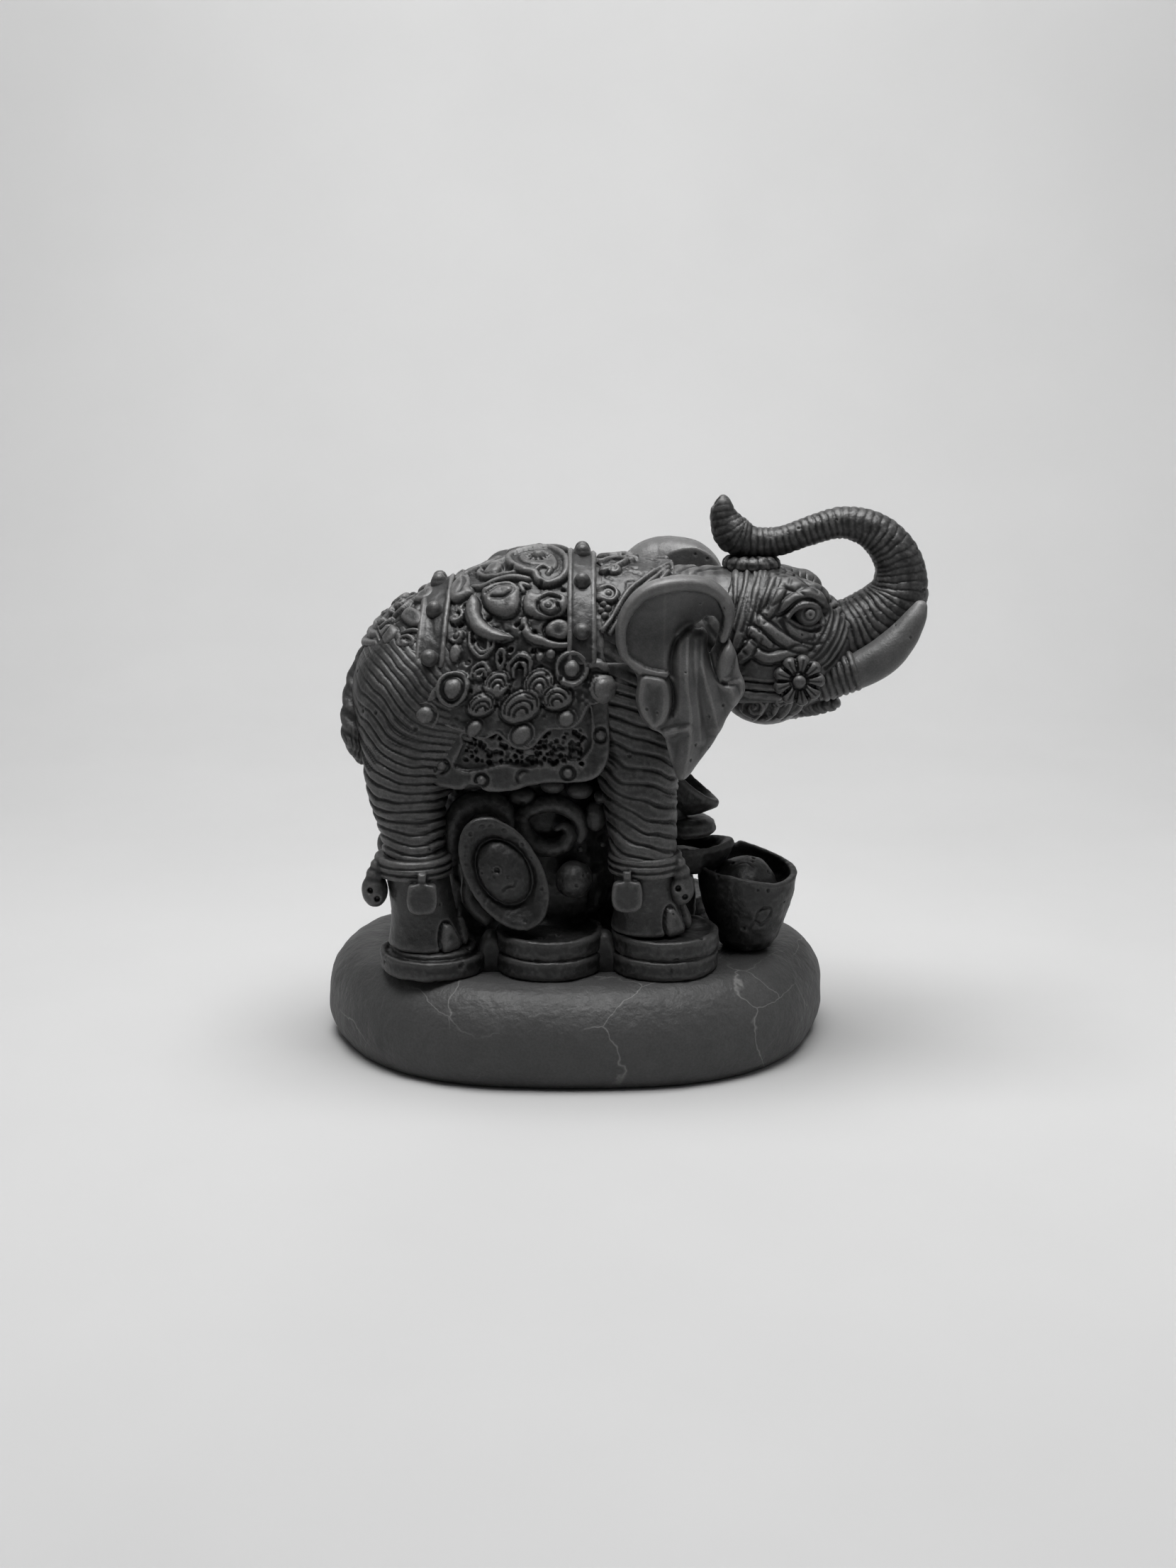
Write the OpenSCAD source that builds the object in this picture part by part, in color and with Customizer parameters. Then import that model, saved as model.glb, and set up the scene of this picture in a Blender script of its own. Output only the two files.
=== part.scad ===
// Elephant figurine with raised trunk, harness, coins, ingots and pearls on a stone plinth.
// Millimetres. +X is the way the elephant faces, -Y is its right side, +Z is up.
// Origin: on the plinth's underside, below the elephant's middle plane and halfway along the stone.

/* [Plinth] */
// Length of the stone plinth
plinth_len = 123; // [115:0.5:160]
// Width of the stone plinth, front to back
plinth_wid = 86; // [80:1:110]
// How far the stone's middle lies behind the elephant's middle plane
plinth_back = 3; // [0:0.5:6]
// Height of the stone plinth
plinth_h = 24; // [16:0.5:32]
// Rounding of the plinth's lower edge
plinth_low_round = 7; // [3:0.5:9]

/* [Coins] */
// Radius of each coin under the feet
coin_r = 13; // [11:0.1:15]
// Thickness of one coin
coin_t = 5; // [3:0.25:7]
// Width of the step turned into each coin's edge
coin_step = 0.6; // [0.2:0.1:1.2]
// Distance of the coin piles from the middle plane
coin_y = 17; // [15.5:0.25:20]
// Coins in each front pile
front_coins = 2; // [1:1:3]

/* [Body] */
// Height of the back above the tops of the front coins
back_h = 91; // [75:0.5:110]
// Half width of the body at its widest
body_half_w = 24.5; // [21:0.5:28]
// Length of the body from rump to shoulder
body_len = 91; // [76:0.5:110]
// Radius of the legs at the ankle
ankle_r = 9; // [7:0.2:11]

/* [Head] */
// Half width of the head
head_half_w = 17; // [14:0.5:19]
// Thickness of the trunk at its root
trunk_root_r = 9; // [7:0.25:10]
// Thickness of the trunk at its highest point
trunk_top_r = 3.9; // [3:0.1:5]
// Largest radius of a tusk
tusk_r = 4.5; // [3:0.1:5.5]
// Thickness of an ear
ear_t = 8.5; // [6:0.25:10]
// Radius of a cheek rosette
rosette_r = 6; // [4:0.25:7]
// Petals on a cheek rosette
rosette_petals = 10; // [6:1:12]

/* [Harness] */
// Thickness of the saddle cloth, rump cloth and neck cloth
cloth_t = 1.2; // [0.8:0.1:2]
// Thickness of the girth bands over the cloth
girth_t = 1; // [0.6:0.1:1.6]
// Width of a girth band
girth_w = 7; // [4:0.25:9]
// Radius of a harness stud
stud_r = 1.7; // [1:0.1:2.5]
// Thickness of the anklets
anklet_t = 1.6; // [1:0.1:2.4]

/* [Treasure] */
// Rim radius of the big ingot in front
bowl_r = 11.9; // [10:0.1:13]
// Half length of the ingot that leans on each flank
side_ingot_half = 16; // [12:0.25:17]
// Radius of the pearl beside each leaning ingot
pearl_r = 4.6; // [3:0.1:5.5]

/* [Hidden] */
$fn = 64;
blob_fn = 24;
level_t = 0.4;
coins_top = plinth_h + front_coins * coin_t;
rear_top = plinth_h + coin_t + 1;
back_z = coins_top + back_h;
unit = back_h / 91;
run = body_len / 91;
head_dx = 33 * (run - 1);
front_dx = 15 * (run - 1);
rear_dx = -39 * (run - 1);
girth_front_x = -2 * run;
girth_rear_x = -38 * run;
cloth_front_x = girth_front_x + girth_w + 4;
skirt_front_x = 8.5 * run;
skirt_rear_x = -35.5 * run;
skirt_y = body_half_w + cloth_t + 1.3;
crown_x = 43 + head_dx;
crown_z = back_z - 4;
foot_front_x = 17.4 + front_dx;
foot_rear_x = -38 + rear_dx;
coin_front_x = foot_front_x + 4.4;
coin_rear_x = foot_rear_x + 3.3;
coin_mid_x = (coin_front_x + coin_rear_x) / 2;
bowl_x = coin_front_x + coin_r + bowl_r - 2.5;
ingot_pile_x = foot_front_x + 6.6;

RIGHT = -1;
LEFT = 1;

charcoal = [0.13, 0.13, 0.13];
charcoal_pale = [0.2, 0.2, 0.2];
slate = [0.32, 0.32, 0.32];

// ---- shared forms ----

module ellipsoid(centre, semi) {
    translate(centre) scale(semi) sphere(r = 1, $fn = blob_fn);
}

// A row of balls [x, y, z, r] joined one to the next.
module limb(balls, fn = 20) {
    for (i = [0 : len(balls) - 2])
        hull() for (b = [balls[i], balls[i + 1]])
            translate([b[0], b[1], b[2]]) sphere(r = b[3], $fn = fn);
}

// Barrel of the elephant as [x, height of centre, half length, half width, half height].
barrel = [
    [-29 * run, back_z - 34, 24.5 * run, body_half_w - 1.5, 24 * unit],
    [-8 * run, back_z - 28.5, 24 * run, body_half_w, 27 * unit],
    [14 * run, back_z - 27.5, 19 * run, body_half_w - 1.5, 23 * unit]
];

module barrel_form(grow = 0) {
    hull() for (b = barrel)
        ellipsoid([b[0], 0, b[1]], [b[2] + grow, b[3] + grow, b[4] + grow]);
}

module neck_form(grow = 0) {
    hull() {
        ellipsoid([14 * run, 0, back_z - 26], [14, body_half_w - 4 + grow, 22.5 * unit + grow]);
        ellipsoid([36 + head_dx, 0, crown_z - 16.5], [12, head_half_w - 1 + grow, 16.5 + grow]);
    }
}

module head_form(grow = 0) {
    translate([head_dx, 0, 0]) hull() {
        ellipsoid([44, 0, crown_z - 17], [17 + grow, head_half_w + grow, 17.3 + grow]);
        ellipsoid([57, 0, crown_z - 20], [11 + grow, head_half_w - 3 + grow, 13.5 + grow]);
        ellipsoid([47, 0, crown_z - 29], [11 + grow, head_half_w - 3 + grow, 9.5 + grow]);
        ellipsoid([63, 0, crown_z - 21], [8 + grow, 9 + grow, 10 + grow]);
    }
}

trunk_balls = [
    [64, 0, crown_z - 19, trunk_root_r + 0.5], [72, 0, crown_z - 15, trunk_root_r],
    [78.5, 0, crown_z - 8.5, trunk_root_r - 1.5], [79.4, 0, crown_z - 1.5, trunk_root_r - 2.8],
    [76.8, 0, crown_z + 4.5, trunk_top_r + 1.6], [71.5, 0, crown_z + 9, trunk_top_r + 0.7],
    [64.5, 0, crown_z + 10.5, trunk_top_r], [57, 0, crown_z + 8.5, trunk_top_r - 0.3],
    [50, 0, crown_z + 6.1, trunk_top_r - 0.6], [43.5, 0, crown_z + 5.7, trunk_top_r - 0.2],
    [38, 0, crown_z + 7.4, trunk_top_r + 0.4], [36, 0, crown_z + 11.8, trunk_top_r - 0.5],
    [35.4, 0, crown_z + 14.8, trunk_top_r - 1.9]
];

function tusk_balls(side) = [
    [63.5, 9 * side, crown_z - 25.8, tusk_r - 0.6], [69, 9.5 * side, crown_z - 24, tusk_r],
    [74.5, 9.8 * side, crown_z - 20.5, tusk_r], [79, 9.5 * side, crown_z - 16, tusk_r - 0.7],
    [82, 9 * side, crown_z - 11.5, tusk_r - 1.8], [83.4, 8.6 * side, crown_z - 8.5, tusk_r - 2.8]
];

// Half width and height of the barrel's surface at x, angle a above the horizontal.
function mix(a, b, t) = a + (b - a) * t;
function barrel_at(x, k) = let (i = x < barrel[1][0] ? 0 : 1)
    let (t = (x - barrel[i][0]) / (barrel[i + 1][0] - barrel[i][0]))
    mix(barrel[i][k], barrel[i + 1][k], max(min(t, 1), 0));
function on_barrel(x, a, side, lift) = [
    x,
    side * (barrel_at(x, 3) + lift) * cos(a),
    barrel_at(x, 1) + (barrel_at(x, 4) + lift) * sin(a)
];

// ---- plinth ----

// One level of the rounded stone: z of its underside, and how far it is drawn in from the widest line.
module stone_level(z, inset) {
    half_l = plinth_len / 2 - inset;
    half_w = plinth_wid / 2 - inset;
    corner = half_w * 0.66;
    translate([0, plinth_back, z]) linear_extrude(level_t) hull() {
        for (s = [-1, 1]) {
            translate([s * (half_l - corner), -2]) circle(corner, $fn = 40);
            translate([s * (half_l - corner - 4), half_w - corner]) circle(corner, $fn = 40);
            translate([s * (half_l - corner - 14), corner - half_w]) circle(corner, $fn = 40);
        }
    }
}

module plinth() {
    widest = plinth_low_round + 2;
    top_round = plinth_h - widest - level_t;
    color(slate) hull() {
        for (a = [0, 35, 65])
            stone_level(plinth_low_round * (1 - cos(a)), plinth_low_round * 0.75 * (1 - sin(a)));
        stone_level(widest, 0);
        for (a = [30, 55, 90])
            stone_level(widest + top_round * sin(a), top_round * 0.75 * (1 - cos(a)));
    }
}

// ---- coins ----

module coin_pile(x, side, count, extra = 0) {
    color(charcoal) for (i = [0 : count - 1])
        translate([x, side * coin_y, plinth_h + i * coin_t]) {
            t = coin_t + (i == count - 1 ? extra : 0);
            cylinder(r = coin_r - coin_step, h = t);
            translate([0, 0, coin_step]) cylinder(r = coin_r, h = t - 2 * coin_step);
        }
}

module coins_front(side) {
    coin_pile(coin_front_x, side, front_coins);
}

// The middle pile stands between its neighbours and is cut back where they meet it.
module coins_middle(side) {
    difference() {
        coin_pile(coin_mid_x, side, front_coins);
        for (x = [coin_front_x, coin_rear_x])
            translate([x, side * coin_y, 0]) cylinder(r = coin_r, h = back_z);
    }
}

module coins_rear(side) {
    coin_pile(coin_rear_x, side, 1, rear_top - plinth_h - coin_t);
}

// ---- legs ----

module above(z) {
    translate([-100, -100, z]) cube([200, 200, 200]);
}

function front_leg_balls(side) = [
    [15 + front_dx, 11 * side, back_z - 40, ankle_r + 3.5],
    [16 + front_dx, 14.5 * side, back_z - 54, ankle_r + 0.6],
    [16.8 + front_dx, 16.5 * side, coins_top + 20, ankle_r + 0.2],
    [17.2 + front_dx, coin_y * side, coins_top + 10, ankle_r],
    [foot_front_x, coin_y * side, coins_top - 1, ankle_r + 1]
];

function rear_leg_balls(side) = [
    [-36 + rear_dx, 8 * side, back_z - 35, ankle_r + 8],
    [-40 + rear_dx, 14 * side, back_z - 52, ankle_r + 3],
    [-39.5 + rear_dx, 16 * side, rear_top + 30, ankle_r + 1],
    [-39 + rear_dx, coin_y * side, rear_top + 16, ankle_r + 0.5],
    [foot_rear_x, coin_y * side, rear_top - 1, ankle_r + 1.2]
];

module leg_form(balls, foot_z) {
    intersection() {
        limb(balls);
        above(foot_z);
    }
}

module leg_front(side) {
    color(charcoal) difference() {
        leg_form(front_leg_balls(side), coins_top);
        barrel_form();
        anklet_front(side);
    }
}

module leg_rear(side) {
    color(charcoal) difference() {
        leg_form(rear_leg_balls(side), rear_top);
        barrel_form();
        anklet_rear(side);
    }
}

// A band of three rings round the ankle, with a square tag on the outside and a bell at each end.
module anklet(x, side, z, r, tag_x) {
    tag = 6.4;
    corner = 1.4;
    ring_r = anklet_t / 2;
    color(charcoal_pale) translate([x, side * (coin_y - 0.5), z]) {
        rotate_extrude() {
            for (i = [0 : 2])
                translate([r, i * ring_r * 1.7]) circle(ring_r, $fn = 32);
            translate([r - 2, -ring_r / 2]) square([2, ring_r * 4.4]);
        }
        translate([tag_x, side * (r + 0.6), -5]) rotate([90, 0, 0])
            translate([0, 0, -1.8]) linear_extrude(3.6) hull()
                for (a = [0 : 90 : 270])
                    rotate(a) translate([tag / 2 - corner + 0.6, tag / 2 - corner + 0.6]) circle(corner, $fn = 24);
        translate([tag_x, side * (r + 0.4), -3]) cylinder(r = 1.2, h = 4);
        for (s = [-1, 1])
            translate([s * (r + 0.4), side * 2, -5.5]) {
                sphere(r = 3.2);
                cylinder(r = 1.3, h = 6);
            }
    }
}

module anklet_front(side) {
    anklet(foot_front_x, side, coins_top + 16, ankle_r + 0.4, -4.8);
}

module anklet_rear(side) {
    anklet(-39 + rear_dx, side, rear_top + 19.5, ankle_r + 0.9, 2.4);
}

// ---- trunk, head and body ----

module body() {
    color(charcoal) union() {
        barrel_form();
        difference() {
            neck_form();
            head_form();
        }
    }
}

tail_balls = [
    [-49 * run, 0, back_z - 24, 3], [-53 * run, -3, back_z - 31, 2.6],
    [-54.2 * run, -7, back_z - 38, 2.6], [-53.5 * run, -9, back_z - 45, 3],
    [-52 * run, -9, back_z - 50, 1.8]
];

module tail() {
    color(charcoal) difference() {
        limb(tail_balls);
        barrel_form();
    }
}

module head() {
    color(charcoal) head_form();
}

module lip_form() {
    translate([head_dx, 0, crown_z])
        limb([[48, 0, -33, 6], [57, 0, -31.5, 5.2], [62, 0, -31.8, 2.6]]);
}

module lower_lip() {
    color(charcoal) difference() {
        lip_form();
        head_form();
        trunk_form();
    }
}

module trunk_form() {
    translate([head_dx, 0, 0]) limb(trunk_balls);
}

module trunk() {
    color(charcoal) difference() {
        trunk_form();
        head_form();
    }
}

module crown_pad() {
    color(charcoal) difference() {
        translate([crown_x, 0, crown_z - 3]) cylinder(r = 7.5, h = 5.5);
        head_form();
        trunk_form();
    }
}

module tusk(side) {
    color(charcoal_pale) difference() {
        translate([head_dx, 0, 0]) limb(tusk_balls(side));
        trunk_form();
        head_form();
        tusk_sheath_form(side);
    }
}

module tusk_sheath_form(side) {
    aim = atan2(2, 6);
    ring = 1.9;
    translate([59 + head_dx, 9 * side, crown_z - 27]) rotate([0, 90 - aim, 0]) {
        cylinder(r = tusk_r + 0.4, h = 5 * ring, $fn = 32);
        for (i = [0 : 4])
            translate([0, 0, (i + 0.2) * ring]) cylinder(r = tusk_r + 1.1, h = ring * 0.6, $fn = 32);
    }
}

module tusk_sheath(side) {
    color(charcoal) difference() {
        tusk_sheath_form(side);
        head_form();
        trunk_form();
        lip_form();
    }
}

// Outline of an ear in the XZ plane, from the top rim round to the hanging tip, heights from the crown.
ear_outline = [
    [10.4, -9.6], [11.4, -4.6], [15, -1.6], [21, 0.2], [28, 0.4], [33, -0.8], [36, -4.6], [37.2, -9.6],
    [36, -13.6], [38, -20.6], [40.2, -25.6], [39.5, -28.6], [36.5, -33.6], [33, -40], [29.5, -44.6],
    [26.5, -46.8], [24.2, -45.4], [21.5, -40.8], [19.6, -35.6], [16, -33.1], [14.4, -28.1],
    [13.4, -22.6], [11.2, -16.6]
];

module ear(side) {
    outer_y = body_half_w + 7.5;
    color(charcoal) difference() {
        translate([head_dx, side > 0 ? outer_y : -outer_y + ear_t, crown_z]) rotate([90, 0, 0])
            linear_extrude(ear_t) polygon(ear_outline);
        translate([24 + head_dx, side * (outer_y + 7.5), crown_z - 12.5]) sphere(r = 12.5);
        translate([28 + head_dx, side * (outer_y + 21), crown_z - 33]) sphere(r = 22.3);
        barrel_form();
        neck_form();
        head_form();
        leg_form(front_leg_balls(side), coins_top);
        skirt_block(side);
    }
}

module eye(side) {
    color(charcoal) difference() {
        translate([55.5 + head_dx, side * (head_half_w - 4.5), crown_z - 9]) sphere(r = 3.6);
        head_form();
    }
}

module rosette_form(side) {
    disc_y = head_half_w - 0.8;
    translate([53.5 + head_dx, side * disc_y, crown_z - 25]) rotate([side * -90, 0, 0]) {
        translate([0, 0, -4]) cylinder(r = rosette_r - 1.2, h = 5);
        for (i = [0 : rosette_petals - 1])
            rotate(i * 360 / rosette_petals) translate([rosette_r - 1.9, 0, 0.2]) sphere(r = 1.9);
        translate([0, 0, 1]) sphere(r = rosette_r * 0.34);
    }
}

module rosette(side) {
    color(charcoal) difference() {
        rosette_form(side);
        head_form();
    }
}

// Three straps from the rosette back to the ear.
module bridle(side) {
    color(charcoal) difference() {
        for (i = [0 : 2])
            translate([41 + head_dx, side > 0 ? 4 : -head_half_w - 1, crown_z - 24 - i * 3.2])
                cube([7, head_half_w - 3, 2.2]);
        head_form();
    }
}

// ---- harness ----

module shell(inner, outer) {
    difference() {
        barrel_form(outer);
        barrel_form(inner);
    }
}

module slab_x(x0, x1, z0) {
    translate([x0, -60, z0]) cube([x1 - x0, 120, 80]);
}

module saddle_cloth() {
    color(charcoal) difference() {
        intersection() {
            shell(0, cloth_t);
            slab_x(girth_rear_x, cloth_front_x, back_z - 38);
        }
        for (s = [RIGHT, LEFT]) skirt_block(s);
        neck_form();
        back_pearl_form();
    }
}

module rump_cloth() {
    color(charcoal) difference() {
        intersection() {
            shell(0, cloth_t);
            slab_x(-70, girth_rear_x, back_z - 31);
        }
        limb(tail_balls);
        for (s = [RIGHT, LEFT]) leg_form(rear_leg_balls(s), rear_top);
    }
}

module neck_cloth() {
    color(charcoal) difference() {
        intersection() {
            difference() {
                neck_form(cloth_t);
                neck_form();
            }
            slab_x(cloth_front_x, cloth_front_x + 15, back_z - 22);
        }
        barrel_form();
        for (s = [RIGHT, LEFT]) ear(s);
    }
}

module girth_band(x0) {
    color(charcoal_pale) difference() {
        intersection() {
            shell(cloth_t, cloth_t + girth_t);
            slab_x(x0, x0 + girth_w, back_z - 30);
        }
        neck_form(cloth_t);
        back_pearl_form();
        for (s = [RIGHT, LEFT]) skirt_block(s);
    }
}

module girth_front() {
    girth_band(girth_front_x);
}

module girth_rear() {
    girth_band(girth_rear_x);
}

// Degrees above the horizontal at which a band carries its studs, on each side.
stud_angles = [25, 55, 77];

// Studs on both bands, round the barrel.
module girth_studs() {
    color(charcoal_pale) difference() {
        for (side = [RIGHT, LEFT])
            for (x = [girth_front_x, girth_rear_x])
                for (a = stud_angles)
                    translate(on_barrel(x + girth_w / 2, a, side, cloth_t + girth_t + 0.2))
                        sphere(r = stud_r);
        barrel_form(cloth_t + girth_t);
        for (s = [RIGHT, LEFT]) skirt_block(s);
    }
}

skirt_outline = [
    [skirt_rear_x + 0.5, -36], [skirt_rear_x, -50], [skirt_rear_x + 2, -53.5], [-22 * run, -54.5],
    [-12 * run, -54.5], [0, -53], [skirt_front_x - 2, -50], [skirt_front_x, -44],
    [skirt_front_x, -33], [-2 * run, -36], [-10 * run, -35], [-24 * run, -35]
];

module skirt_block(side) {
    inner_y = body_half_w * 0.55;
    translate([0, side > 0 ? skirt_y : -inner_y, back_z]) rotate([90, 0, 0])
        linear_extrude(skirt_y - inner_y) polygon(skirt_outline);
}

module skirt(side) {
    color(charcoal) difference() {
        skirt_block(side);
        barrel_form();
        leg_form(front_leg_balls(side), coins_top);
        leg_form(rear_leg_balls(side), rear_top);
    }
}

module back_pearl_form() {
    translate([-15 * run, 10, back_z - 9.5]) sphere(r = 8);
}

module back_pearl() {
    color(charcoal) difference() {
        back_pearl_form();
        barrel_form();
    }
}

// ---- treasure under and before the elephant ----

module oval(half_len, half_wid, h) {
    scale([half_len, half_wid, 1]) cylinder(r = 1, h = h, $fn = 28);
}

module boat_ingot(half_len, half_wid, h) {
    difference() {
        hull() {
            translate([0, 0, h * 0.75]) oval(half_len, half_wid, h * 0.25);
            oval(half_len * 0.62, half_wid * 0.6, h * 0.1);
        }
        translate([0, 0, h * 0.8]) oval(half_len * 0.88, half_wid * 0.84, h);
    }
    translate([0, 0, h * 0.75]) scale([half_len * 0.5, half_wid * 0.55, h * 0.5]) sphere(r = 1, $fn = 16);
}

module side_ingot_form(side) {
    translate([-17.6 * run, side * 21, back_z - 75]) rotate([0, 56, 0]) rotate([side * -84, 0, 0])
        boat_ingot(side_ingot_half, 9, 6);
}

module side_ingot(side) {
    color(charcoal) difference() {
        side_ingot_form(side);
        coins_middle(side);
        coins_rear(side);
        leg_form(rear_leg_balls(side), rear_top);
        skirt_block(side);
        barrel_form();
    }
}

module pearl_form(side) {
    translate([-0.5 * run, side * 18, back_z - 78.5]) sphere(r = pearl_r);
}

module pearl(side) {
    color(charcoal) difference() {
        pearl_form(side);
        side_ingot_form(side);
        leg_form(front_leg_balls(side), coins_top);
    }
}

// Clouds that fill the space between the legs and carry the belly.
module cloud_mass() {
    cloud_r = 10;
    rear_cloud_x = foot_rear_x + 11 + cloud_r;
    front_cloud_x = foot_front_x - 10.4 - cloud_r;
    cloud_top = back_z - 50;
    color(charcoal) difference() {
        hull() {
            for (x = [rear_cloud_x, front_cloud_x])
                translate([x, 0, plinth_h]) scale([1, 1.4, 1])
                    cylinder(r = cloud_r, h = cloud_top - plinth_h, $fn = 24);
        }
        barrel_form();
        for (s = [RIGHT, LEFT]) {
            for (x = [coin_front_x, coin_mid_x, coin_rear_x])
                translate([x, s * coin_y, 0]) cylinder(r = coin_r, h = coins_top, $fn = 32);
        }
    }
}

module ingot_pile_form() {
    pile_half = 15;
    pile_r = 7;
    translate([ingot_pile_x - 1, 0, plinth_h]) cylinder(r = pile_r - 0.5, h = 16, $fn = 32);
    translate([ingot_pile_x, 0, plinth_h + 15]) boat_ingot(pile_half, pile_r, 9);
    translate([ingot_pile_x + 4, 0, plinth_h + 30]) sphere(r = pile_r, $fn = 24);
    translate([ingot_pile_x - 3, 0, plinth_h + 34]) rotate([0, 24, 0])
        boat_ingot(pile_half - 1, pile_r, 9);
}

module ingot_pile() {
    color(charcoal) difference() {
        ingot_pile_form();
        for (s = [RIGHT, LEFT]) {
            leg_form(front_leg_balls(s), coins_top);
            coins_front(s);
        }
        barrel_form();
        front_ingot_form();
    }
}

module front_ingot_form() {
    translate([bowl_x, -1, plinth_h]) {
        difference() {
            rotate_extrude() polygon([
                [0, 0], [7.2, 0], [8.6, 3], [10.6, 8], [11.8, 14], [bowl_r, 20], [bowl_r, 22],
                [bowl_r - 1.6, 22], [bowl_r - 2.4, 17], [0, 16]
            ]);
            translate([-20, -20, 21]) rotate([12, 0, 0]) cube([40, 60, 20]);
        }
        translate([0, 0, 15.5]) sphere(r = 7.4);
    }
}

module front_ingot() {
    color(charcoal) difference() {
        front_ingot_form();
        for (s = [RIGHT, LEFT]) coins_front(s);
    }
}

// ---- nodes ----

plinth();
coins_front(RIGHT);  // coins_front_right
coins_front(LEFT);  // coins_front_left
coins_middle(RIGHT);  // coins_middle_right
coins_middle(LEFT);  // coins_middle_left
coins_rear(RIGHT);  // coins_rear_right
coins_rear(LEFT);  // coins_rear_left
leg_front(RIGHT);  // leg_front_right
leg_front(LEFT);  // leg_front_left
leg_rear(RIGHT);  // leg_rear_right
leg_rear(LEFT);  // leg_rear_left
anklet_front(RIGHT);  // anklet_front_right
anklet_front(LEFT);  // anklet_front_left
anklet_rear(RIGHT);  // anklet_rear_right
anklet_rear(LEFT);  // anklet_rear_left
body();
tail();
head();
lower_lip();
trunk();
crown_pad();
tusk(RIGHT);  // tusk_right
tusk(LEFT);  // tusk_left
tusk_sheath(RIGHT);  // tusk_sheath_right
tusk_sheath(LEFT);  // tusk_sheath_left
ear(RIGHT);  // ear_right
ear(LEFT);  // ear_left
eye(RIGHT);  // eye_right
eye(LEFT);  // eye_left
rosette(RIGHT);  // rosette_right
rosette(LEFT);  // rosette_left
bridle(RIGHT);  // bridle_right
bridle(LEFT);  // bridle_left
saddle_cloth();
rump_cloth();
neck_cloth();
skirt(RIGHT);  // skirt_right
skirt(LEFT);  // skirt_left
girth_front();
girth_rear();
girth_studs();
back_pearl();
cloud_mass();
side_ingot(RIGHT);  // side_ingot_right
side_ingot(LEFT);  // side_ingot_left
pearl(RIGHT);  // pearl_right
pearl(LEFT);  // pearl_left
ingot_pile();
front_ingot();
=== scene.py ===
"""A cast elephant in festival harness, with coins, ingots and pearls at its feet, on a slate plinth.

Every piece is sculpted as a block of signed distances in millimetres, in the row's own frame: +X is
the way the elephant faces, -Y its right side, +Z up. The block is turned into a quad mesh, chased
with relief, and then set on its CAD node. Pieces of the left side are mirrored from the right side.
"""

import math

import bpy
import numpy as np
import openvdb
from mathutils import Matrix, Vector


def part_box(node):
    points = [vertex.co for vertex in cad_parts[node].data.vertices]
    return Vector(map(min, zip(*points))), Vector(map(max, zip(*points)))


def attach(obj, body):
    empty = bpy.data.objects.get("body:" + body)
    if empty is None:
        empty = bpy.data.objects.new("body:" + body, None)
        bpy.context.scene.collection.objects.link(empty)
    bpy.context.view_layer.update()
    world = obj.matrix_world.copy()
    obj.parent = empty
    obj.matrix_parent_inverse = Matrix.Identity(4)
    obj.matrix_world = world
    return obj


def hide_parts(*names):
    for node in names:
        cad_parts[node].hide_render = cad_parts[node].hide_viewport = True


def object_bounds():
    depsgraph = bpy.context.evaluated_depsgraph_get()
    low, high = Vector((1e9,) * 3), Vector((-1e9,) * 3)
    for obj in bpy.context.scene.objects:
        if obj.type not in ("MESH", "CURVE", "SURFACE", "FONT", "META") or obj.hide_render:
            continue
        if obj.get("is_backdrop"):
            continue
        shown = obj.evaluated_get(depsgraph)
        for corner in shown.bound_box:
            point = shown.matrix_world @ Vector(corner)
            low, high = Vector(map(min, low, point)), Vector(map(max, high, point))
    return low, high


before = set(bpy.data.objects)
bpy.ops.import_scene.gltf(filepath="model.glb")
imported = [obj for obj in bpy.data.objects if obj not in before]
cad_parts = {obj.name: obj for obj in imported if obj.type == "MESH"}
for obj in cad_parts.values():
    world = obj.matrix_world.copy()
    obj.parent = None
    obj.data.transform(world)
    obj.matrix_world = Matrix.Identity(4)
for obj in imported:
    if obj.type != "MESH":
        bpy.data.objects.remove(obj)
cad_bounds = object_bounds()

MM = 0.001
COARSE = 1.0
FAR = 6.0  # distances beyond this aren't kept


# ---- measures taken from the frame, in millimetres ----


def low(node):
    return np.array(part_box(node)[0]) / MM


def high(node):
    return np.array(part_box(node)[1]) / MM


def ends(node):
    return low(node), high(node)


def centre(node):
    return (low(node) + high(node)) / 2


def node_points(node):
    return np.array([v.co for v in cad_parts[node].data.vertices]) / MM


stone_top = high("plinth")[2]
head_y = high("head")[1]
crown_top = high("head")[2]
head_top = crown_top - 0.3
muzzle_x = high("head")[0]
coins_top = high("coins_front_right")[2]
rear_top = high("coins_rear_right")[2]
back_top = high("body")[2]
flank_y = high("body")[1]
rump_x = low("body")[0]

# Barrel of the body: x, height of centre, half length, half width, half height.
BARREL = (
    (rump_x + 24.5, back_top - 32.5, 24.5, flank_y - 1.5, 24.0),
    (rump_x + 45.5, back_top - 27.0, 24.0, flank_y, 27.0),
    (rump_x + 67.5, back_top - 26.0, 19.0, flank_y - 1.5, 23.0),
)


# ---- numbers that repeat the same way on every run ----

LATTICE = np.random.default_rng(11).random((24, 24, 24)).astype(np.float32)


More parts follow.
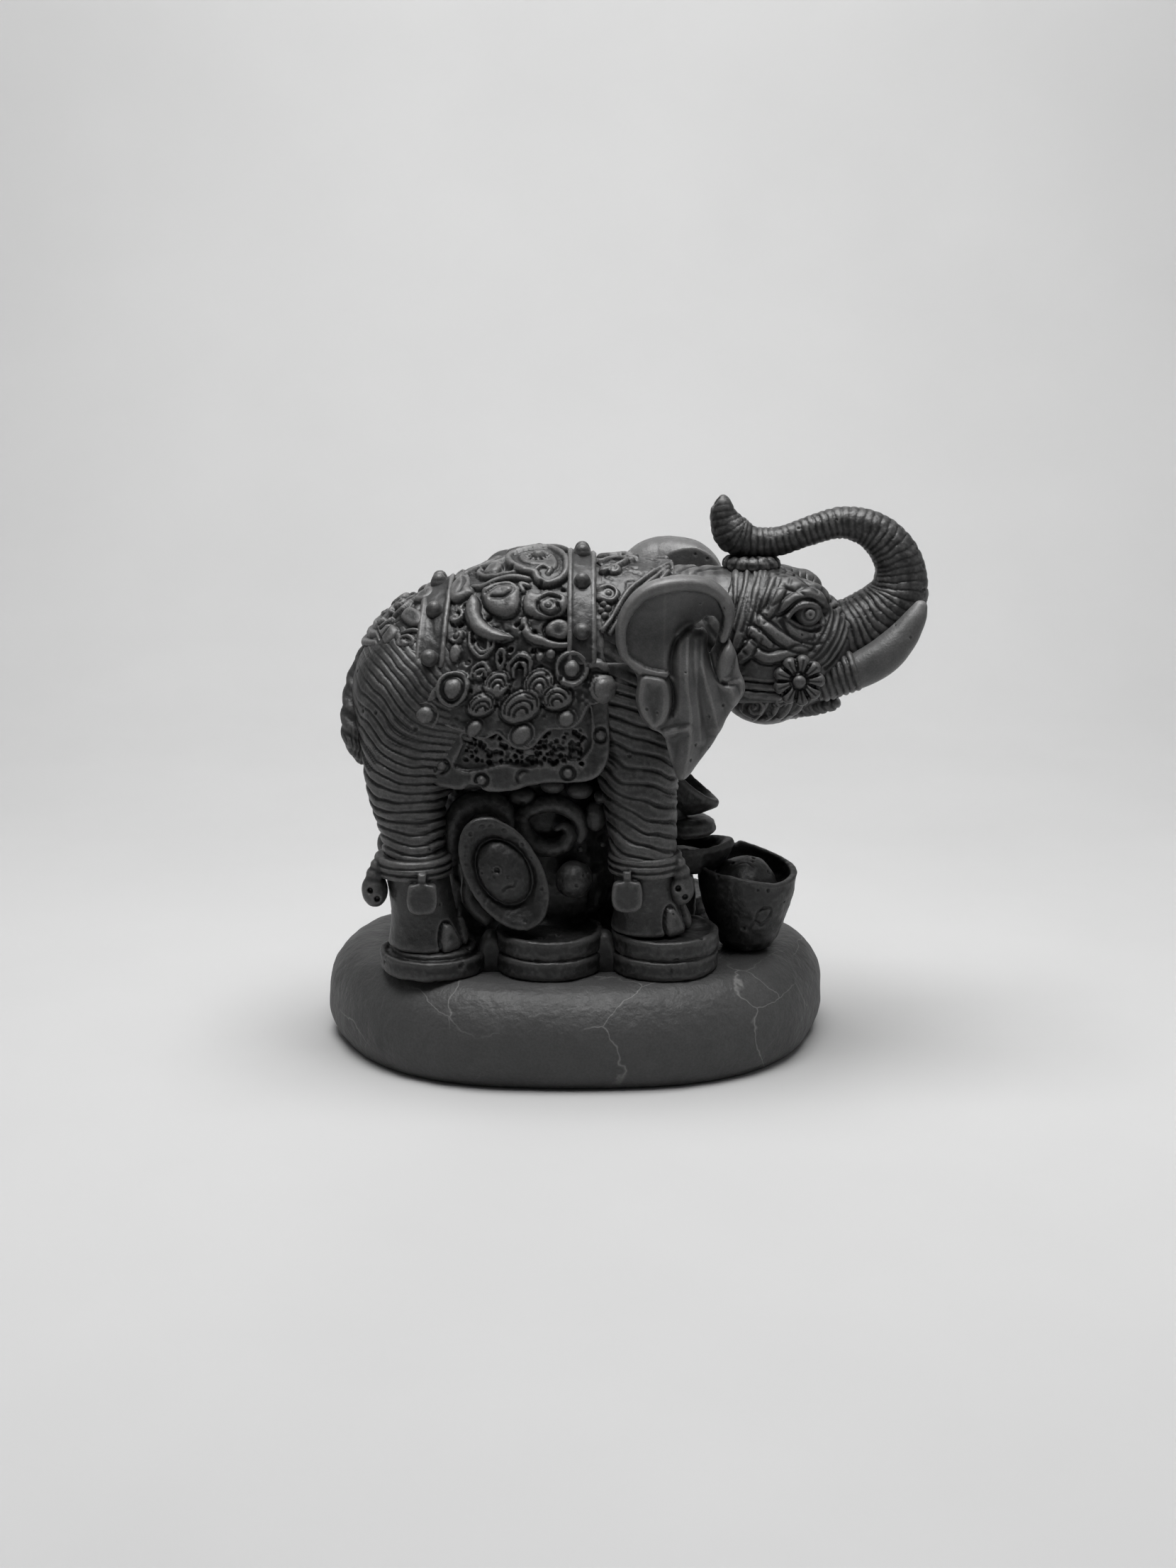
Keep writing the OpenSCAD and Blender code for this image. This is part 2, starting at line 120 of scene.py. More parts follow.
def noise(points, size, seed=0.0):
    """Smooth noise from -1 to 1 at each point, with lumps of about the given size."""
    p = np.asarray(points, np.float32) / size + seed * 7.31 + 100.0
    cell = np.floor(p).astype(np.int64)
    f = p - cell
    f = f * f * (3.0 - 2.0 * f)
    total = np.zeros(len(p), np.float32)
    n = LATTICE.shape[0]
    for i in (0, 1):
        wx = f[:, 0] if i else 1.0 - f[:, 0]
        for j in (0, 1):
            wy = f[:, 1] if j else 1.0 - f[:, 1]
            for k in (0, 1):
                wz = f[:, 2] if k else 1.0 - f[:, 2]
                corner = LATTICE[(cell[:, 0] + i) % n, (cell[:, 1] + j) % n, (cell[:, 2] + k) % n]
                total += wx * wy * wz * corner
    return total * 2.0 - 1.0


def smooth_step(t):
    t = np.clip(t, 0.0, 1.0)
    return t * t * (3.0 - 2.0 * t)


# ---- curves and outlines ----


def curve(points, per_leg=6):
    """A smooth line through the points, of any number of dimensions."""
    p = np.asarray(points, float)
    if len(p) < 3:
        return p
    p = np.vstack([2 * p[0] - p[1], p, 2 * p[-1] - p[-2]])
    out = []
    for i in range(1, len(p) - 2):
        for t in np.arange(per_leg) / per_leg:
            a, b, c, d = p[i - 1 : i + 3]
            out.append(
                0.5 * (
                    2 * b + (c - a) * t + (2 * a - 5 * b + 4 * c - d) * t**2 + (3 * b - a - 3 * c + d) * t**3
                )
            )
    out.append(p[-2])
    return np.array(out)


def loop(points, per_leg=5):
    """A smooth closed outline through the points."""
    p = [tuple(q) for q in points]
    ring = curve(p[-2:] + p + p[:2], per_leg)
    return ring[2 * per_leg : (2 + len(p)) * per_leg]


def closed(outline):
    return np.vstack([outline, outline[:1]])


def line_distance(u, v, line):
    """Distance of each (u, v) from a polyline, and how far along it the nearest place lies, 0 to 1."""
    best = np.full(u.shape, 1e9, np.float32)
    along = np.zeros(u.shape, np.float32)
    legs = len(line) - 1
    for i in range(legs):
        (ax, ay), (bx, by) = line[i], line[i + 1]
        dx, dy = bx - ax, by - ay
        t = np.clip(((u - ax) * dx + (v - ay) * dy) / (dx * dx + dy * dy + 1e-9), 0.0, 1.0)
        d = (u - ax - t * dx) ** 2 + (v - ay - t * dy) ** 2
        nearer = d < best
        best = np.where(nearer, d, best)
        along = np.where(nearer, (i + t) / legs, along)
    return np.sqrt(best), along


def outline_distance(u, v, outline):
    """Signed distance from a closed outline, below zero inside."""
    ring = closed(outline)
    d, _ = line_distance(u, v, ring)
    inside = np.zeros(u.shape, bool)
    for (ax, ay), (bx, by) in zip(ring[:-1], ring[1:]):
        crosses = (ay > v) != (by > v)
        inside ^= crosses & (u < (bx - ax) * (v - ay) / (by - ay + 1e-12) + ax)
    return np.where(inside, -d, d)


# ---- clay: a block of signed distances ----


def smooth_min(a, b, k):
    if k <= 0:
        return np.minimum(a, b)
    h = np.maximum(k - np.abs(a - b), 0.0) / k
    return np.minimum(a, b) - h * h * k * 0.25


def smooth_max(a, b, k):
    return -smooth_min(-a, -b, k)


def egg(middle, radii):
    """Distance from an ellipsoid."""
    (cx, cy, cz), (rx, ry, rz) = middle, radii

    def distance(x, y, z):
        px, py, pz = (x - cx) / rx, (y - cy) / ry, (z - cz) / rz
        k0 = np.sqrt(px * px + py * py + pz * pz)
        k1 = np.sqrt((px / rx) ** 2 + (py / ry) ** 2 + (pz / rz) ** 2)
        return k0 * (k0 - 1.0) / np.maximum(k1, 1e-4)

    return distance


def loft(eggs, steps=6):
    """Distance from a form that passes through ellipsoids (x, y, z, rx, ry, rz) one after another."""
    rows = []
    for a, b in zip(eggs[:-1], eggs[1:]):
        for t in np.arange(steps) / steps:
            rows.append(np.array(a) * (1 - t) + np.array(b) * t)
    rows.append(np.array(eggs[-1]))

    def distance(x, y, z):
        best = None
        for row in rows:
            d = egg(row[:3], row[3:])(x, y, z)
            best = d if best is None else np.minimum(best, d)
        return best

    return distance


def lathe(profile, middle, reach):
    """Distance from a turned form about Z; the profile is a closed outline of (radius, height)."""
    fine = 0.1
    top = max(p[1] for p in profile) + reach
    bottom = min(p[1] for p in profile) - reach
    wide = max(p[0] for p in profile) + reach * 2
    rho = np.arange(0.0, wide, fine)
    high_ = np.arange(bottom, top, fine)
    mirrored = [(-r, h) for r, h in reversed(profile)]
    table = outline_distance(rho[:, None] + 0 * high_, high_ + 0 * rho[:, None], np.array(profile + mirrored))

    def distance(x, y, z):
        r = np.sqrt((x - middle[0]) ** 2 + (y - middle[1]) ** 2)
        h = z - middle[2]
        i = np.clip((r / fine).astype(int), 0, len(rho) - 2)
        j = np.clip(((h - bottom) / fine).astype(int), 0, len(high_) - 2)
        fi = np.clip(r / fine - i, 0, 1)
        fj = np.clip((h - bottom) / fine - j, 0, 1)
        lo = table[i, j] * (1 - fj) + table[i, j + 1] * fj
        hi = table[i + 1, j] * (1 - fj) + table[i + 1, j + 1] * fj
        return lo * (1 - fi) + hi * fi

    return distance


def turned(matrix, origin, form):
    """The form, carried into a frame whose axes are the rows of the matrix."""
    m = np.asarray(matrix, float)

    def distance(x, y, z):
        dx, dy, dz = x - origin[0], y - origin[1], z - origin[2]
        a, b, c = (m[i, 0] * dx + m[i, 1] * dy + m[i, 2] * dz for i in range(3))
        return form(a, b, c)

    return distance


class Clay:
    """A block of space that forms are added to and cut from."""

    def __init__(self, lo, hi, step=0.33):
        self.step = step * COARSE
        self.lo = np.array(lo, float)
        count = np.ceil((np.array(hi, float) - self.lo) / self.step).astype(int) + 1
        self.axes = [self.lo[i] + self.step * np.arange(count[i]) for i in range(3)]
        self.d = np.full(count, FAR, np.float32)

    def window(self, lo=None, hi=None):
        spans = []
        for i, axis in enumerate(self.axes):
            a = 0 if lo is None else np.searchsorted(axis, lo[i])
            b = len(axis) if hi is None else np.searchsorted(axis, hi[i])
            spans.append(slice(a, max(b, a + 1)))
        x, y, z = (axis[s] for axis, s in zip(self.axes, spans))
        return tuple(spans), x[:, None, None], y[None, :, None], z[None, None, :]

    def add(self, form, blend=0.0, lo=None, hi=None):
        spans, x, y, z = self.window(lo, hi)
        self.d[spans] = smooth_min(self.d[spans], form(x, y, z), blend)
        return self

    def cut(self, form, blend=0.0, lo=None, hi=None):
        spans, x, y, z = self.window(lo, hi)
        self.d[spans] = smooth_max(self.d[spans], -form(x, y, z), blend)
        return self

    def trim(self, field, blend):
        """Keeps only what lies where the field, given over the block's own grid, is below zero."""
        self.d = smooth_max(self.d, field, blend).astype(np.float32)
        return self

    def tube_distance(self, balls, closeness=0.12):
        """Distance from a limb through balls (x, y, z, r)."""
        line = curve(balls, 24)
        picked = [line[0]]
        for ball in line[1:]:
            gap = np.linalg.norm(ball[:3] - picked[-1][:3])
            if gap > max(closeness * ball[3], 0.2):
                picked.append(ball)
        picked.append(line[-1])
        field = np.full(self.d.shape, FAR, np.float32)
        for cx, cy, cz, r in picked:
            reach = r + 4.0
            spans, x, y, z = self.window(
                (cx - reach, cy - reach, cz - reach), (cx + reach, cy + reach, cz + reach)
            )
            ball = np.sqrt((x - cx) ** 2 + (y - cy) ** 2 + (z - cz) ** 2) - r
            field[spans] = np.minimum(field[spans], ball)
        return field

    def tube(self, balls, blend=0.0):
        self.d = smooth_min(self.d, self.tube_distance(balls), blend)
        return self

    def ball(self, middle, r, blend=0.0):
        reach = r + blend + 2.0
        lo, hi = np.array(middle) - reach, np.array(middle) + reach
        return self.add(egg(middle, (r, r, r)), blend, lo, hi)

    def mesh(self):
        """The surface as points and quads, all facing out. The block's own sides close it off."""
        for axis in range(3):
            for end in (0, -1):
                side = [slice(None)] * 3
                side[axis] = end
                self.d[tuple(side)] = np.maximum(self.d[tuple(side)], 0.5 * self.step)
        grid = openvdb.FloatGrid(FAR)
        grid.copyFromArray(np.ascontiguousarray(np.clip(self.d, -FAR, FAR), dtype=np.float32))
        points, quads = grid.convertToQuads(isovalue=0.0)
        return Skin(points.astype(float) * self.step + self.lo, quads.astype(np.int64))


# ---- skin: a mesh with relief chased into it ----


class Skin:
    """Points and quads of one piece, before it becomes a Blender mesh."""

    def __init__(self, points, quads):
        self.points = points
        self.quads = quads
        self.up = np.zeros(len(points))
        self.down = np.zeros(len(points))
        # painted sheen: a lift of the tone all over a piece
        self.sheen_lift = 0.0

    def normals(self):
        a, b, c, d = (self.points[self.quads[:, i]] for i in range(4))
        face = np.cross(c - a, d - b)
        total = np.zeros_like(self.points)
        for i in range(4):
            for k in range(3):
                total[:, k] += np.bincount(self.quads[:, i], face[:, k], len(self.points))
        return total / np.maximum(np.linalg.norm(total, axis=1, keepdims=True), 1e-9)

    def averaged(self, values, times):
        q = self.quads
        a = np.concatenate([q[:, i] for i in range(4)])
        b = np.concatenate([q[:, (i + 1) % 4] for i in range(4)])
        n = len(self.points)
        count = np.bincount(a, minlength=n) + np.bincount(b, minlength=n)
        count = np.maximum(count, 1)
        out = np.array(values, float)
        flat = out.ndim == 1
        out = out[:, None] if flat else out
        for _ in range(times):
            new = np.empty_like(out)
            for k in range(out.shape[1]):
                new[:, k] = (np.bincount(a, out[b, k], n) + np.bincount(b, out[a, k], n)) / count
            out = 0.5 * out + 0.5 * new
        return out[:, 0] if flat else out

    def push(self, amount):
        """Moves the surface out along its normals by an amount for each point."""
        self.points = self.points + self.normals() * np.asarray(amount)[:, None]
        return self

    def chase(self, weight=1.0):
        """Carries out the relief drawn so far: the highest ridge and the deepest cut at each point."""
        self.push((self.up + self.down) * weight)
        self.up[:] = 0
        self.down[:] = 0
        return self

    def mirrored(self):
        points = self.points * np.array([1.0, -1.0, 1.0])
        return Skin(points, self.quads[:, ::-1].copy())

    def joined(self, other):
        points = np.vstack([self.points, other.points])
        quads = np.vstack([self.quads, other.quads + len(self.points)])
        return Skin(points, quads)

    def tone(self):
        """From 0 in the hollows, darkened as painted shade, to 1 on the edges, paled by wear and a painted
        highlight.
        """
        scale = 1.0 / COARSE
        n = self.normals()
        fine = np.einsum("ij,ij->i", self.points - self.averaged(self.points, 4), n)
        broad = np.einsum("ij,ij->i", self.points - self.averaged(self.points, 26), n)
        return np.clip(0.5 + self.sheen_lift + (fine * 3.4 + broad * 1.3) * scale, 0.0, 1.0)


class Chart:
    """Draws relief on a skin through two flat coordinates for each point, in millimetres."""

    def __init__(self, skin, u, v, weight=None):
        self.skin = skin
        self.u = np.asarray(u, float)
        self.v = np.asarray(v, float)
        self.weight = np.ones(len(self.u)) if weight is None else weight

    def near(self, line, reach):
        lo, hi = np.min(line, axis=0) - reach, np.max(line, axis=0) + reach
        hit = (self.u > lo[0]) & (self.u < hi[0]) & (self.v > lo[1]) & (self.v < hi[1]) & (self.weight > 0)
        return np.nonzero(hit)[0]

    def raise_(self, at, h):
        self.skin.up[at] = np.maximum(self.skin.up[at], h * self.weight[at])

    def sink(self, at, h):
        self.skin.down[at] = np.minimum(self.skin.down[at], -h * self.weight[at])

    def ridge(self, points, w, h, taper=0.0, smooth=True):
        """A rounded cord of half width w and height h, thinner towards its ends by the taper."""
        line = curve(points) if smooth else np.asarray(points, float)
        at = self.near(line, w)
        d, along = line_distance(self.u[at], self.v[at], line)
        size = 1.0 - taper * np.abs(2.0 * along - 1.0) ** 2
        t = np.clip(1.0 - (d / (w * size)) ** 2, 0.0, None)
        self.raise_(at, h * size * np.sqrt(t) * smooth_step(t * 2.0))
        return self

    def groove(self, points, w, h, taper=0.5, smooth=True):
        line = curve(points) if smooth else np.asarray(points, float)
        at = self.near(line, w * 2.5)
        d, along = line_distance(self.u[at], self.v[at], line)
        size = 1.0 - taper * np.abs(2.0 * along - 1.0) ** 2
        self.sink(at, h * size * np.exp(-((d / w) ** 2)))
        return self

    def groove_beside(self, points, w, h, taper):
        line = curve(points)
        step = np.gradient(line, axis=0)
        step /= np.maximum(np.linalg.norm(step, axis=1, keepdims=True), 1e-9)
        for side in (-1.0, 1.0):
            beside = line + side * w * np.stack([-step[:, 1], step[:, 0]], axis=1)
            self.groove(beside, w * 0.33, h, taper, smooth=False)
        return self

    def plate(self, outline, h, edge=0.5):
        """A raised flat area with sloping sides."""
        at = self.near(outline, edge)
        d = outline_distance(self.u[at], self.v[at], np.asarray(outline, float))
        self.raise_(at, h * smooth_step(0.5 - d / edge))
        return self

    def pillow(self, outline, h, r=1.4, base=0.0):
        """A raised area with a rounded shoulder of radius r."""
        at = self.near(outline, 0.2)
        d = outline_distance(self.u[at], self.v[at], np.asarray(outline, float))
        t = np.clip(-d / r, 0.0, 1.0)
        self.raise_(at, base * (d < 0) + h * np.sqrt(t * (2.0 - t)))
        return self

    def seam(self, outline, w=0.32, h=0.5):
        """A closed groove."""
        return self.groove(closed(outline), w, h, 0.0, smooth=False)

    def hoop(self, outline, w, h):
        """A closed cord."""
        return self.ridge(closed(outline), w, h, 0.0, smooth=False)

    def hollow(self, outline, h, edge=0.6):
        at = self.near(outline, edge)
        d = outline_distance(self.u[at], self.v[at], np.asarray(outline, float))
        self.sink(at, h * smooth_step(0.5 - d / edge))
        return self

    def disc(self, c, r, squash=1.0, count=20):
        angles = np.arange(count) * 2 * math.pi / count
        return np.stack([c[0] + r * np.cos(angles), c[1] + r * squash * np.sin(angles)], axis=1)

    def dome(self, c, r, h, base=0.0):
        at = self.near([c], r)
        d = np.hypot(self.u[at] - c[0], self.v[at] - c[1]) / r
        self.raise_(at, base + h * np.sqrt(np.clip(1.0 - d * d, 0.0, None)))
        return self

    def pit(self, c, r, h):
        at = self.near([c], r * 1.6)
        d = np.hypot(self.u[at] - c[0], self.v[at] - c[1]) / r
        self.sink(at, h * np.exp(-(d**4)))
        return self

    def ringed_stud(self, c, r=1.5, h=0.8):
        """A stud in a ring-shaped groove."""
        self.seam(self.disc(c, r), 0.38, 0.75)
        return self.dome(c, r * 0.72, h)

    def scroll(self, c, r, turns, start, hand=1.0, w=0.75, h=0.9, tail=()):
        """A spiral cord that ends in the middle, and may come in along a tail."""
        count = max(int(turns * 12), 6)
        t = np.arange(count + 1) / count
        angle = math.radians(start) + hand * t * turns * 2 * math.pi
        radius = r * (1.0 - 0.82 * t)
        line = np.stack([c[0] + radius * np.cos(angle), c[1] + radius * np.sin(angle)], axis=1)
        if len(tail):
            line = np.vstack([curve(list(tail) + [tuple(line[0])]), line])
        self.ridge(line, w, h, 0.25, smooth=False)
        return self.dome(c, w * 1.25, h * 1.1)

    def pebbled(self, area, count, seed, r=(0.35, 0.75), h=0.6):
        """Pits scattered inside an outline."""
        rng = np.random.default_rng(seed)
        lo, hi = np.min(area, axis=0), np.max(area, axis=0)
        spots = lo + rng.random((count, 2)) * (hi - lo)
        sizes = rng.uniform(r[0], r[1], count)
        inside = outline_distance(spots[:, 0], spots[:, 1], np.asarray(area, float)) < -0.5
        for spot, size in zip(spots[inside], sizes[inside]):
            self.pit(spot, size, h * (0.6 + size))
        return self


def side_chart(skin, weight):
    return Chart(skin, skin.points[:, 0], skin.points[:, 2], weight)


def creases(t, sharp=0.55):
    """Soft pads between narrow creases at every whole number of t: 0 in the crease, 1 on the pad."""
    return np.abs(np.sin(math.pi * t)) ** sharp


# ---- from skins to Blender pieces ----


def make_object(name, skin, material):
    """A Blender mesh from a skin, in metres, with its hollow-to-edge tone stored on the points: painted shade
    in the hollows, wear and a painted highlight on the edges.
    """
    mesh = bpy.data.meshes.new(name)
    points = (skin.points * MM).astype(np.float32)
    quads = skin.quads.astype(np.int32)
    mesh.vertices.add(len(points))
    mesh.vertices.foreach_set("co", points.ravel())
    mesh.loops.add(quads.size)
    mesh.loops.foreach_set("vertex_index", quads.ravel())
    mesh.polygons.add(len(quads))
    mesh.polygons.foreach_set("loop_start", np.arange(0, quads.size, 4, dtype=np.int32))
    mesh.update(calc_edges=True)
    mesh.polygons.foreach_set("use_smooth", np.ones(len(quads), bool))
    tone = mesh.attributes.new("tone", "FLOAT", "POINT")
    tone.data.foreach_set("value", skin.tone().astype(np.float32))
    mesh.materials.append(material)
    return link(name, mesh)


def set_piece(node, skin, slot):
    """Puts a finished skin in the place of its CAD node."""
    obj = make_object(node + ".cast", skin, MATERIALS[slot])
    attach(obj, "root")
    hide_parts(node)


def set_pair(node, skin, slot):
    set_piece(node + "_right", skin, slot)
    set_piece(node + "_left", skin.mirrored(), slot)


def rough_cast(skin, depth=0.09, size=2.4, seed=1.0):
    """The slight unevenness of a hand-finished casting."""
    bumps = noise(skin.points, size, seed) + 0.5 * noise(skin.points, size * 0.42, seed + 3)
    skin.push(bumps * depth)
    return skin


def pinholes(skin, count, seed, r=(0.25, 0.5), depth=0.5):
    """Small air-bubble holes at random places on the surface."""
    rng = np.random.default_rng(seed)
    normals = skin.normals()
    for spot in skin.points[rng.integers(0, len(skin.points), count)]:
        size = rng.uniform(*r) * COARSE
        near = np.nonzero(np.max(np.abs(skin.points - spot), axis=1) < size * 2)[0]
        d = np.linalg.norm(skin.points[near] - spot, axis=1) / size
        skin.points[near] -= normals[near] * (depth * np.exp(-(d**3)))[:, None]
    return skin


# ---- charts of the body ----


def barrel_row(x):
    """Height of centre, half width and half height of the barrel at x."""
    xs = [row[0] for row in BARREL]
    return tuple(np.interp(x, xs, [row[k] for row in BARREL]) for k in (1, 3, 4))


GIRTH_R = 25.5  # turns angles round the back into millimetres of cloth


def flank_chart(points):
    """Unrolls the flank: u is x, v the height above the barrel's middle, measured round the back."""
    x, y, z = points.T
    zc, w, h = barrel_row(x)
    angle = np.arctan2((z - zc) / h, np.abs(y) / w)
    return x, np.where(z > zc, angle * GIRTH_R, z - zc)


def on_back(x, degrees):
    return (x, math.radians(degrees) * GIRTH_R)


def hang(x, z):
    """A place given by x and its height, on the part of the cloth that hangs straight down."""
    zc, _, h = barrel_row(x)
    rise = (z - zc) / h
    return (x, GIRTH_R * math.asin(min(rise, 1.0)) if rise > 0 else z - zc)


def backs(*spots):
    return [on_back(*s) for s in spots]


def hangs(*spots):
    return [hang(*s) for s in spots]


def barrel_form(grow=0.0):
    return loft([(x, 0, zc, a + grow, w + grow, h + grow) for x, zc, a, w, h in BARREL], 5)


def drape_form(grow=0.0):
    """The barrel with its sides hanging straight down, as cloth hangs from it."""
    form = barrel_form(grow)
    hang_from = BARREL[1][1] - 1.0

    def distance(x, y, z):
        return form(x, y, np.maximum(z, hang_from))

    return distance


def neck_form(grow=0.0):
    first = (14.0, 0, back_top - 24.5, 14.0, flank_y - 4 + grow, 22.5 + grow)
    last = (36.0, 0, crown_top - 16.8, 12.0, head_y - 1 + grow, 16.5 + grow)
    return loft([first, last], 6)


def head_form():
    skull = (44.0, 0, head_top - 17, 17.0, head_y, 17.3)
    face = (57.0, 0, head_top - 20, 11.0, head_y - 3, 13.5)
    jaw = (47.0, 0, head_top - 29, 11.0, head_y - 3, 9.5)
    muzzle = (muzzle_x - 8, 0, head_top - 21, 8.0, 9.0, 10.0)
    parts = [loft([skull, face], 5), loft([skull, jaw], 4), loft([face, muzzle], 5), loft([jaw, face], 3)]

    def distance(x, y, z):
        best = parts[0](x, y, z)
        for part in parts[1:]:
            best = smooth_min(best, part(x, y, z), 2.5)
        return best

    return distance


# ---- limbs ----


def front_leg_balls():
    x, y, _ = foot_centre("leg_front_right")
    top = back_top + 1.5
    return [
        (15, -11, top - 40, 12.5),
        (15.6, -15.0, top - 55, 9.6),
        (x - 0.8, y - 1.0, coins_top + 22, 8.2),
        (x - 0.4, y - 1.2, coins_top + 15, 7.5),
        (x + 0.2, y - 0.8, coins_top + 6, 8.0),
        (x + 0.8, y, coins_top - 1, 9.6),
    ]


def rear_leg_balls():
    x, y, _ = foot_centre("leg_rear_right")
    top = back_top + 1.5
    return [
        (-36, -8, top - 35, 17),
        (-40.4, -14.6, top - 53, 10.6),
        (x - 1.4, -16.4, rear_top + 29, 8.2),
        (x - 0.4, y - 1.2, rear_top + 19, 7.6),
        (x + 1.0, y - 0.8, rear_top + 8, 7.9),
        (x + 1.6, y, rear_top - 1, 9.6),
    ]


def foot_centre(node):
    """Middle of the sole: the lowest ring of the leg's own points."""
    co = node_points(node)
    sole = co[co[:, 2] < co[:, 2].min() + 1.0]
    return (sole.min(0) + sole.max(0)) / 2


def leg_skin(balls, foot_z, top_z, reach):
    xs, ys = [b[0] for b in balls], [b[1] for b in balls]
    lo = (min(xs) - 19, min(ys) - 13.5, foot_z - 0.8)
    hi = (max(xs) + 17, -0.5, top_z)
    clay = Clay(lo, hi, 0.36)
    limb = clay.tube_distance(balls)
    clay.d = limb
    clay.add(barrel_form(0.1), 7.0)
    clay.trim(limb - reach, 1.0)
    _, x, y, z = clay.window()
    return clay.trim(foot_z - z + 0 * x + 0 * y, 1.2).mesh()


def round_chart(skin, balls):
    """Angle round the limb from its outer side, in millimetres of arc, and the height."""
    line = np.array(balls, float)
    order = np.argsort(line[:, 2])
    cx = np.interp(skin.points[:, 2], line[order, 2], line[order, 0])
    cy = np.interp(skin.points[:, 2], line[order, 2], line[order, 1])
    angle = np.arctan2(skin.points[:, 0] - cx, -(skin.points[:, 1] - cy))
    return angle, skin.points[:, 2]


def wrinkle(skin, t, depth, mask, cut=0.13, merge=0.35, size=7.0, seed=2.0):
    """Flat lapping folds of skin with sharp cuts where t is whole, wandering and dying out in places."""
    p = skin.points
    wander = noise(p, size, seed) * merge + noise(p, size * 0.4, seed + 1) * merge * 0.3
    wander += noise(p, size * 2.2, seed + 2) * 0.9
    phase = t + wander
    f = phase - np.floor(phase)
    near = np.minimum(f, 1.0 - f)
    strength = 0.35 + 0.65 * smooth_step(0.6 + 1.6 * noise(p, size * 1.1, seed + 5))
    skin.push((-np.exp(-((near / cut) ** 2)) + 0.35 * f - 0.2) * depth * strength * mask)
    phase = t * 2.0 + wander * 2.3 + 0.5
    near = np.abs(phase - np.round(phase))
    some = smooth_step(2.2 * noise(p, size, seed + 8) - 0.2)
    skin.push(-np.exp(-((near / (cut * 1.3)) ** 2)) * depth * 0.5 * mask * some)


def toes(skin, balls, foot_z, facing):
    """Nails round the front of a foot, each a raised pad outlined by a groove."""
    angle, z = round_chart(skin, balls)
    chart = Chart(skin, angle * 10.0, z)
    for degrees in (0, 48, 96):
        u = math.radians(facing + degrees) * 10.0
        nail = [(u - 3.0, foot_z + 0.2), (u - 2.9, foot_z + 3.6), (u - 1.3, foot_z + 6.8)]
        nail += [(u + 1.3, foot_z + 6.8), (u + 2.9, foot_z + 3.6), (u + 3.0, foot_z + 0.2)]
        chart.pillow(curve(nail, 4), 1.3, 2.4)
        chart.groove(nail, 0.4, 0.9, 0.05)
    skin.chase()


def build_front_legs():
    balls = front_leg_balls()
    skin = leg_skin(balls, coins_top, 101, 3.4)
    x, y, z = skin.points.T
    ankle = high("anklet_front_right")[2]
    t = (z + 0.36 * (x - balls[2][0]) + 0.10 * y) / 3.3
    mask = smooth_step((z - ankle + 1.5) / 2.0) * smooth_step((100 - z) / 4.0)
    wrinkle(skin, t, 0.85, mask, 0.13, 0.42, 9.0, 3.0)
    toes(skin, balls, coins_top, 44)
    rough_cast(skin, 0.07, 2.0, 4.0)
    pinholes(skin, 26, 5)
    set_pair("leg_front", skin, "cast_skin")


def build_rear_legs():
    balls = rear_leg_balls()
    skin = leg_skin(balls, rear_top, 112, 3.2)
    x, _, z = skin.points.T
    ankle = high("anklet_rear_right")[2]
    steep = 0.10 + 0.85 * smooth_step((z - 60) / 42.0)
    t = (z + steep * (x + 44) - 0.006 * (x + 44) ** 2) / 2.7
    mask = smooth_step((z - ankle + 1.5) / 2.0) * (1.0 - 0.5 * smooth_step((z - 74) / 14.0))
    wrinkle(skin, t, 0.75, mask, 0.13, 0.42, 8.0, 9.0)
    toes(skin, balls, rear_top, 44)
    rough_cast(skin, 0.07, 2.0, 6.0)
    pinholes(skin, 30, 7)
    set_pair("leg_rear", skin, "cast_skin")


def anklet_skin(node, bell_side):
    lo, hi = ends(node)
    mid = (lo + hi) / 2
    r = (hi[0] - lo[0]) / 2 - 4.8
    z0 = hi[2] - 3.5
    axis = (mid[0] - 0.3, lo[1] + r + 2.6, z0)
    tag_x = tag_centre(node)
    tag_y = axis[1] - r - 0.7
    clay = Clay(lo - (1.5, 1.5, 2), hi + (1.5, 1.5, 2), 0.3)
    rings = [
        (r - 3.0, -1.2), (r + 0.5, -1.3), (r + 0.9, -0.4), (r + 0.3, 0.2), (r + 0.9, 0.7), (r + 1.0, 1.4)
    ]
    rings += [(r + 0.3, 1.9), (r + 0.8, 2.4), (r + 0.8, 3.1), (r + 0.2, 3.6), (r - 3.0, 3.6)]
    clay.add(lathe(rings, axis, 3.0))
    clay.cut(lathe([(0, -9), (r - 2.2, -9), (r - 2.2, 9), (0, 9)], axis, 3.0))
    pad = loop([
        (-3.5, 2.2), (-2.2, 3.5), (2.2, 3.5), (3.5, 2.2),
        (3.6, -2.0), (2.0, -3.9), (-2.0, -3.9), (-3.6, -2.0),
    ])
    clay.add(slab(pad, (tag_x, tag_y, z0 - 5.0), 1.5), 0.4)
    strap = np.array([(-1.0, -2), (1.0, -2), (1.0, 5.6), (-1.0, 5.6)])
    clay.add(slab(strap, (tag_x, tag_y - 0.1, z0 - 4.6), 0.9), 0.5)
    bx, by = axis[0] + bell_side * (r + 0.6), axis[1] - 3.4
    clay.add(egg((bx, by, z0 - 4.8), (3.2, 3.2, 4.2)), 0.8)
    clay.add(egg((bx - bell_side * 0.3, by, z0 - 0.6), (2.3, 2.3, 1.9)), 0.8)
    clay.add(egg((bx - bell_side * 0.6, by, z0 + 1.6), (1.5, 2.0, 1.5)), 0.6)
    for hx, hz in ((-0.9, -4.2), (0.8, -6.4)):
        clay.cut(egg((bx + hx, by - 2.9, z0 + hz), (0.75, 1.2, 0.8)), 0.3)
    return clay.mesh()


